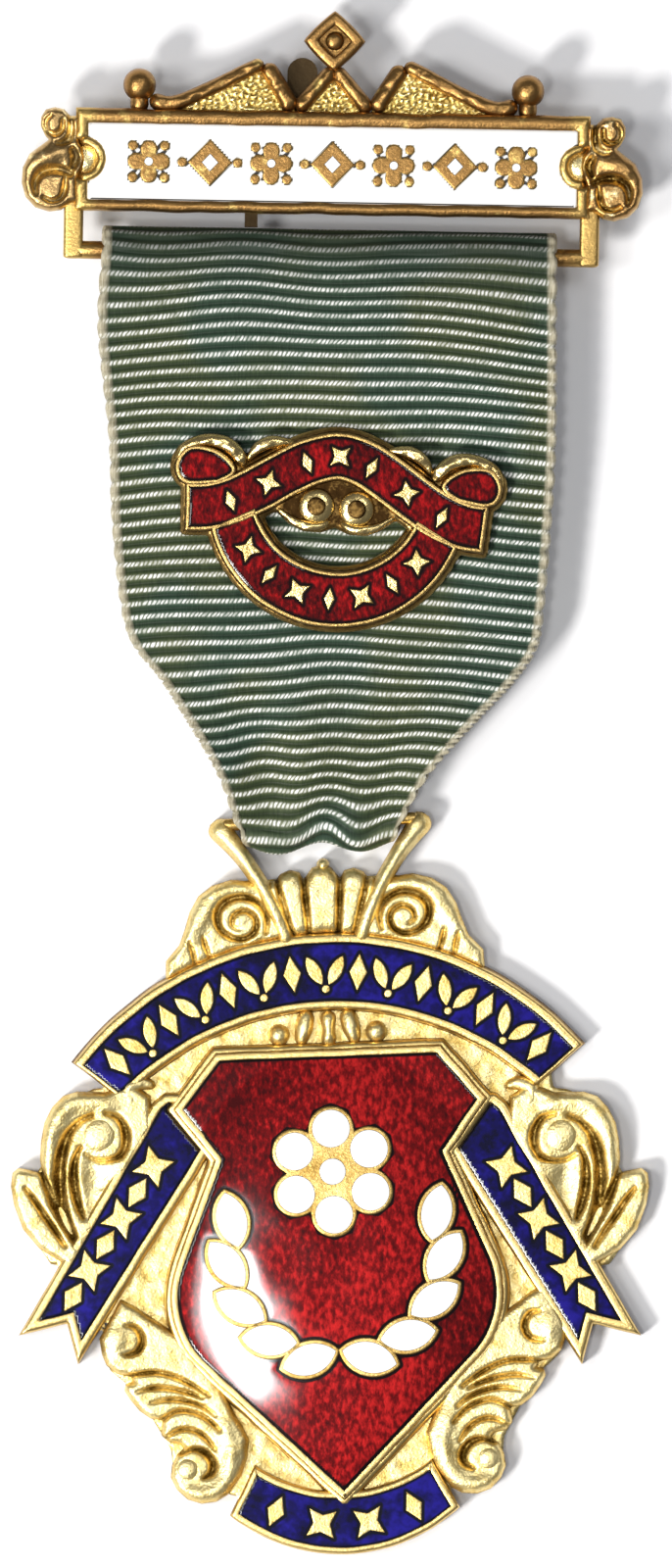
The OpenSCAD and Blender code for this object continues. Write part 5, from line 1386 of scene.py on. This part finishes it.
for k in range(-3, 4):
    t = (len(banner_spine) - 1) / 2 + k * 8.1
    at = np.array([np.interp(t, np.arange(len(banner_spine)), banner_spine[:, c]) for c in (0, 1)])
    tilt = np.degrees(np.arctan2(*banner_ahead[int(round(t))][::-1]))
    banner_motifs.append(motif(lozenge(badge_unit * 0.7, badge_unit * 1.5) if k % 2
                               else floret(badge_unit * 1.7), *(at * badge_unit), tilt))
    turn = k * 18
    at = on_circle(-6.3 * badge_unit, 2.1 * badge_unit, turn)
    crescent_motifs.append(motif(floret(badge_unit * 1.75) if k % 2
                                 else lozenge(badge_unit * 0.7, badge_unit * 1.5), *at, turn))
curls += pads(banner_motifs + crescent_motifs, badge_floor_t, badge_t, bevel=0.07)
build("badge_curls", moved(curls, on_badge), rubbed_gilt, "badge_frame")
build("badge_metal", moved(badge_shapes, on_badge), badge_gilt, "badge_frame")

# %% Badge enamel
for name, node, line, gold, steps in (
        ("band", "badge_band_enamel", banner_line, banner_motifs, ()),
        ("crescent", "badge_crescent_enamel", crescent_line, crescent_motifs, ()),
        ("loop_right", "badge_loop_enamel_right", loop_line, [], ()),
        ("loop_left", "badge_loop_enamel_left", loop_line, [], (flip,))):
    glaze = glass_sheet(line, badge_rim, badge_floor_t, badge_t - 0.04, 0.12, gold, under=0.05)
    build("badge_glass_" + name, moved([glaze], *steps, on_badge), deep_red_glass,
          node)

# %% [markdown]
# ## Ribbon
# The ribbon is a closed loop of ribbed silk: down the front, round the pendant's crossbar, up the
# back and round the hanger's wire. It is a grid over two parameters, the way round the loop and the
# way across and round the cloth's section, so every rib is real relief: |sin| of the way along, to a
# power. A cloth simulation would blur exactly these ribs, so the soft pleats where the cloth is drawn
# in are added by formula too.

# %% Path and section of the cloth
edge_rows = curve([[0, 1.0, 0.98], [0.12, 1.02, 0.99], [0.31, 0.93, 1.0], [0.45, 0.90, 0.98],
                   [0.6, 0.83, 0.94], [0.67, 0.74, 0.9], [0.73, 0.54, 0.76], [0.8, 0.36, 0.53],
                   [0.87, 0.2, 0.31], [0.93, 0.09, 0.14], [1, 0, 0]], 6)


def cloth_place(down, u):
    """Where a point lies that is so far down from the hanger's wire and at u across, -1 to 1."""
    s = np.clip(down / ribbon_l, 0, 1)
    wide = [ribbon_foot_half + (ribbon_w / 2 - ribbon_foot_half)
            * np.interp(s, edge_rows[:, 0], edge_rows[:, c]) for c in (1, 2)]
    x = u * np.where(u < 0, wide[0], wide[1])
    y = -rib_bow * ease(s / 0.12) * (1 - ease((s - 0.72) / 0.28)) * u * u
    drop = 0.3 * ease((s - 0.7) / 0.3) + 0.5 * ease((s - 0.95) / 0.05)
    y = y - pleat_drop * drop * (1 - np.cos(2 * np.pi * u)) / 2
    turn = np.radians(bar_turn + (pendant_turn - bar_turn) * ease((s - 0.55) / 0.45))
    middle = wire_drop * np.sin(np.radians(bar_turn)) * (1 - s) + foot_x * s
    return np.stack([middle + x * np.cos(turn) - y * np.sin(turn),
                     wire_y - down + x * np.sin(turn) + y * np.cos(turn)], -1), x


PER_RIB, BACK_PER_RIB, BEND = 13, 6, 30
FOOT_RIBS, TOP_RIBS, BENDS_L = 3, 5, 6.5
rows_front = np.linspace(0, 1, ribs * PER_RIB + 1)
rows_back = np.linspace(1, 0, ribs * BACK_PER_RIB + 1)
share = np.concatenate([rows_front, np.ones(BEND - 1), rows_back, np.zeros(BEND - 1)])
bend = np.linspace(0, 180, BEND + 1)[1:-1]
tilt = np.radians(np.concatenate([np.full(len(rows_front), 90), 90 - bend,
                                  np.full(len(rows_back), -90), -90 - bend]))
rib = np.concatenate([rows_front * ribs, ribs + bend / 180 * FOOT_RIBS,
                      ribs + FOOT_RIBS + (1 - rows_back) * ribs,
                      2 * ribs + FOOT_RIBS + bend / 180 * TOP_RIBS])
turns = 2 * ribs + FOOT_RIBS + TOP_RIBS
start = len(rows_front) + BEND + ribs * BACK_PER_RIB // 2
share, tilt, rib = (np.roll(a, -start) for a in (share, tilt, rib))
rib = np.where(np.arange(len(rib)) >= len(rib) - start, rib + turns, rib)

OVER, UNDER, CROWD = 78, 12, 0.92
face = np.sin(np.linspace(-1, 1, OVER) * np.pi / 2 * CROWD) / np.sin(np.pi / 2 * CROWD)
round_edge = np.radians([30, 60, 90, 120, 150])
across = np.concatenate([face, 1 + 0.012 * np.sin(round_edge), np.linspace(1, -1, UNDER),
                         -1 - 0.012 * np.sin(round_edge)])
depth = np.concatenate([np.ones(OVER), (1 + np.cos(round_edge)) / 2, np.zeros(UNDER),
                        (1 - np.cos(round_edge)) / 2])

# %% Ribbon surface
S, A, U = share[:, None], tilt[:, None], across[None]
flutter = 0.10 * waves(np.stack(np.broadcast_arrays(U * 12, S * ribbon_l), -1), 9, 31)
taper = ease((S - 0.62) / 0.3)
phase = rib[:, None] + flutter * (1 + 0.6 * taper)
hump = np.abs(np.sin(np.pi * phase)) ** 0.75
selvedge = ease((np.abs(U) - 0.972 + 0.03 * taper) / 0.012)
bulges = np.abs(np.sin(np.pi * rib[:, None] * (0.66 + 0.14 * taper) + 1.5 * U)) ** 0.7
thick = ribbon_t - rib_depth * (1 - hump) * (1 - 0.5 * selvedge)
radius_in = (wire_d + (crossbar_d - wire_d) * S) / 2 + cloth_gap
reach = radius_in + depth[None] * thick
level = wire_z + (crossbar_z - wire_z) * S + reach * np.sin(A)
front = np.where(np.isclose(A, np.pi / 2), 1, np.where(S == 1, np.clip(np.sin(A), 0, 1), 0))
pleat = pleat_h * (1 + np.cos(np.radians(400) * U)) / 2 * ease((S - 0.7) / 0.18)
pleat = pleat * (1 - 0.7 * ease((S - 0.9) / 0.1))
soft = 0.09 * waves(np.stack(np.broadcast_arrays(U * 15, S * ribbon_l * 0.6), -1), 8, 32)
level = level + front * (pleat + depth[None] * (soft + 0.12 * selvedge * bulges))
wide = U * (1 - corner_in * S * np.clip(np.cos(A), 0, 1)) * (
    1 + (0.016 + 0.035 * taper) * selvedge * (bulges - 0.5))
xy, from_middle = cloth_place(S * ribbon_l + reach * np.cos(A), wide)
cloth_points = np.concatenate([xy, level[..., None]], -1)
n_rows, n_columns = cloth_points.shape[:2]
# Painted shade: through the crest mark the cloth is darkened where it turns over the hanger's wire, on
# the first ribs of its face below it and on the upper part of its back.
painted_fold_shade = np.clip(0.9 * np.exp(-(rib[:, None] - turns) / 2.2), 0, 1) + 0 * U
cloth = shape(cloth_points, grid_faces(n_rows, n_columns, True, True), crest=painted_fold_shade,
              edge=selvedge * (0.45 + 0.55 * bulges))
print("ribbon grid", n_rows, "by", n_columns)

# %% [markdown]
# ## Silk
# The weave follows the cloth, so it reads the ribbon's own map: across it in millimetres, and along
# it in ribs. On each rib's crest a narrow line of short slanting near-white glints is painted, partly
# the pale weft and partly painted highlight, and the grooves between are dark green with fine upright
# threads, darkened towards the groove as painted shade. The crest mark paints shade where the cloth
# turns over the hanger's wire, and the edge mark brings in the cream selvedge.

# %% Silk finish
def silk(name):
    """Ribbed silk: away is 0 on a rib's crest and 1 in the groove. Slanting stripes, the sine of a
    sum of the way across and along, make the glints on the crest, and stretched noise the threads."""
    material, tree, shader = new_finish(name, {
        "Roughness": 0.55, "Specular IOR Level": 0.25, "Sheen Weight": 0.08, "Sheen Roughness": 0.4})
    uv = add(tree, "UVMap", uv_map="weave").outputs["UV"]
    place = add(tree, "SeparateXYZ", {"Vector": uv})
    x, y = place.outputs["X"], place.outputs["Y"]
    off = sums(tree, "SUBTRACT", sums(tree, "FRACT", y), 0.5)
    away = sums(tree, "MULTIPLY", sums(tree, "ABSOLUTE", off), 2.0)
    wander = noise(tree, uv, 1.3, 2)
    run = sums(tree, "MULTIPLY_ADD", off, 10.0, sums(tree, "MULTIPLY_ADD", x, 22.0,
               sums(tree, "MULTIPLY", wander, 9.0)))
    slash = sums(tree, "SINE", run)
    stretched = add(tree, "Mapping", {"Vector": uv, "Scale": (9, 0.9, 1)}).outputs["Vector"]
    thread = noise(tree, stretched, 1.0, 3, 0.7)
    along = add(tree, "Mapping", {"Vector": uv, "Scale": (1.6, 0.8, 1)}).outputs["Vector"]
    clump = spread(tree, noise(tree, along, 1.0, 3, 0.7), 0.36, 0.6, 0.4, 1.0)
    # Painted highlight, partly the pale weft: a narrow line of near-white glints on each rib's crest.
    crest_line = spread(tree, sums(tree, "MULTIPLY_ADD", wander, 0.2, away), 0.57, 0.22)
    glint = sums(tree, "MULTIPLY", crest_line, spread(tree, slash, -0.7, 0.3, 0.1, 1.0))
    glint = sums(tree, "MULTIPLY", glint, clump)
    # Dark green cloth with painted shade: the colour darkens from each crest down into the groove.
    ground = ramp(tree, sums(tree, "MULTIPLY_ADD", thread, 0.5, sums(tree, "MULTIPLY_ADD", away,
                  -0.55, 0.5)), (0.0, (0.004, 0.009, 0.005)), (0.4, (0.034, 0.058, 0.036)),
                  (0.8, (0.135, 0.172, 0.118)))
    olive = spread(tree, noise(tree, uv, 0.12, 1), 0.4, 0.6)
    ground = mixed(tree, 1.0, ground, ramp(tree, olive, (0.0, (0.84, 0.98, 0.98)),
                                           (1.0, (1.3, 1.1, 0.75))), "MULTIPLY")
    # The glints are painted near-white over the ground.
    colour = mixed(tree, glint, ground, (1.0, 1.0, 0.96))
    shade = sums(tree, "MULTIPLY", mark(tree, "crest"), 0.75)
    colour = mixed(tree, shade, colour, (0.012, 0.022, 0.012))
    cream = ramp(tree, thread, (0.3, (0.3, 0.25, 0.15)), (0.7, (0.72, 0.66, 0.5)))
    colour = mixed(tree, sums(tree, "MULTIPLY", mark(tree, "edge"), 0.85), colour, cream)
    tree.links.new(colour, shader.inputs["Base Color"])
    tree.links.new(bumped(tree, thread, 0.03 * MM, 0.6,
                          bumped(tree, glint, 0.03 * MM, 0.7)), shader.inputs["Normal"])
    return material


ribbon = build("silk_ribbon", [cloth], silk("ribbed_silk"), "ribbon")
weave = np.stack([from_middle, phase + 0 * U], -1).reshape(-1, 2)
corner = np.empty(len(ribbon.data.loops), int)
ribbon.data.loops.foreach_get("vertex_index", corner)
uv = weave[corner].reshape(-1, 4, 2)
row = (corner // n_columns).reshape(-1, 4)
closing = (row.max(1) - row.min(1)) > 1
uv[..., 1] += turns * (closing[:, None] & (row == 0))
ribbon.data.uv_layers.new(name="weave").data.foreach_set("uv", uv.ravel().astype(np.float32))

# %% [markdown]
# ## Pin fitting
# What is behind the bar can't be seen in the picture, so the fitting keeps its plain CAD form and
# only gets a finish: dull brass with the same grain as the other metal.

# %% Pin finish
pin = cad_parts["brooch_pin"]
pin.data.materials.clear()
pin.data.materials.append(pin_metal)

# %% [markdown]
# ## Floor and light
# The jewel lies on a white sheet. A lamp at the left and below throws soft shadows to the upper
# right. A small one nearly overhead, with a weaker and wider one round it, is mirrored in the domed
# shield as a white glare with a soft edge. Two broad lamps at the left and at the upper right give
# each gilt ridge a bright side. The world stays dark, because metal shows its form only by what it
# mirrors.

# %% Floor
floor_mesh = bpy.data.meshes.new("floor")
floor_mesh.from_pydata([(-0.6, -0.6, 0), (0.6, -0.6, 0), (0.6, 0.6, 0), (-0.6, 0.6, 0)], [],
                       [(0, 1, 2, 3)])
floor = bpy.data.objects.new("floor", floor_mesh)
bpy.context.collection.objects.link(floor)
paper, tree, shader = new_finish("white_sheet", {
    "Roughness": 0.9, "Specular IOR Level": 0.1, "Emission Color": (0.95, 0.95, 1.0, 1),
    "Emission Strength": 0.04})
at = add(tree, "TexCoord").outputs["Object"]
white_clouds = ramp(tree, noise(tree, at, 60, 2), (0.3, (0.87, 0.87, 0.89)),
                    (0.7, (0.9, 0.9, 0.91)))
tree.links.new(white_clouds, shader.inputs["Base Color"])
floor_mesh.materials.append(paper)

# %% Lamps
def lamp(name, direction, distance, size, power, colour=(1, 1, 1)):
    """A round area light that looks at the jewel's middle from a direction."""
    data = bpy.data.lights.new(name, "AREA")
    data.shape = "DISK"
    data.size = size
    data.energy = power
    data.color = colour
    light = bpy.data.objects.new(name, data)
    way = np.array(direction, float)
    way /= np.linalg.norm(way)
    light.location = way * distance
    light.rotation_euler = (0, np.arccos(way[2]), np.arctan2(way[1], way[0]))
    bpy.context.collection.objects.link(light)


lamp("key", (-0.57, -0.47, 0.82), 0.6, 0.12, 3.1, (1, 0.98, 0.95))
lamp("glare", (-0.13, -0.115, 1.0), 0.7, 0.08, 0.6)
lamp("glare_halo", (-0.14, -0.115, 1.0), 0.71, 0.11, 0.25)
lamp("left", (-0.58, 0.04, 1.0), 0.8, 0.22, 1.75, (1, 0.99, 0.97))
lamp("side", (0.32, 0.34, 1.0), 0.9, 0.26, 1.1, (0.97, 0.98, 1))
world = bpy.data.worlds.new("room")
bpy.context.scene.world = world
world.use_nodes = True
world.node_tree.nodes["Background"].inputs["Color"].default_value = (0.9, 0.93, 1.0, 1)
world.node_tree.nodes["Background"].inputs["Strength"].default_value = 0.14
view = bpy.context.scene.view_settings
view.view_transform = "Standard"
view.look = "None"
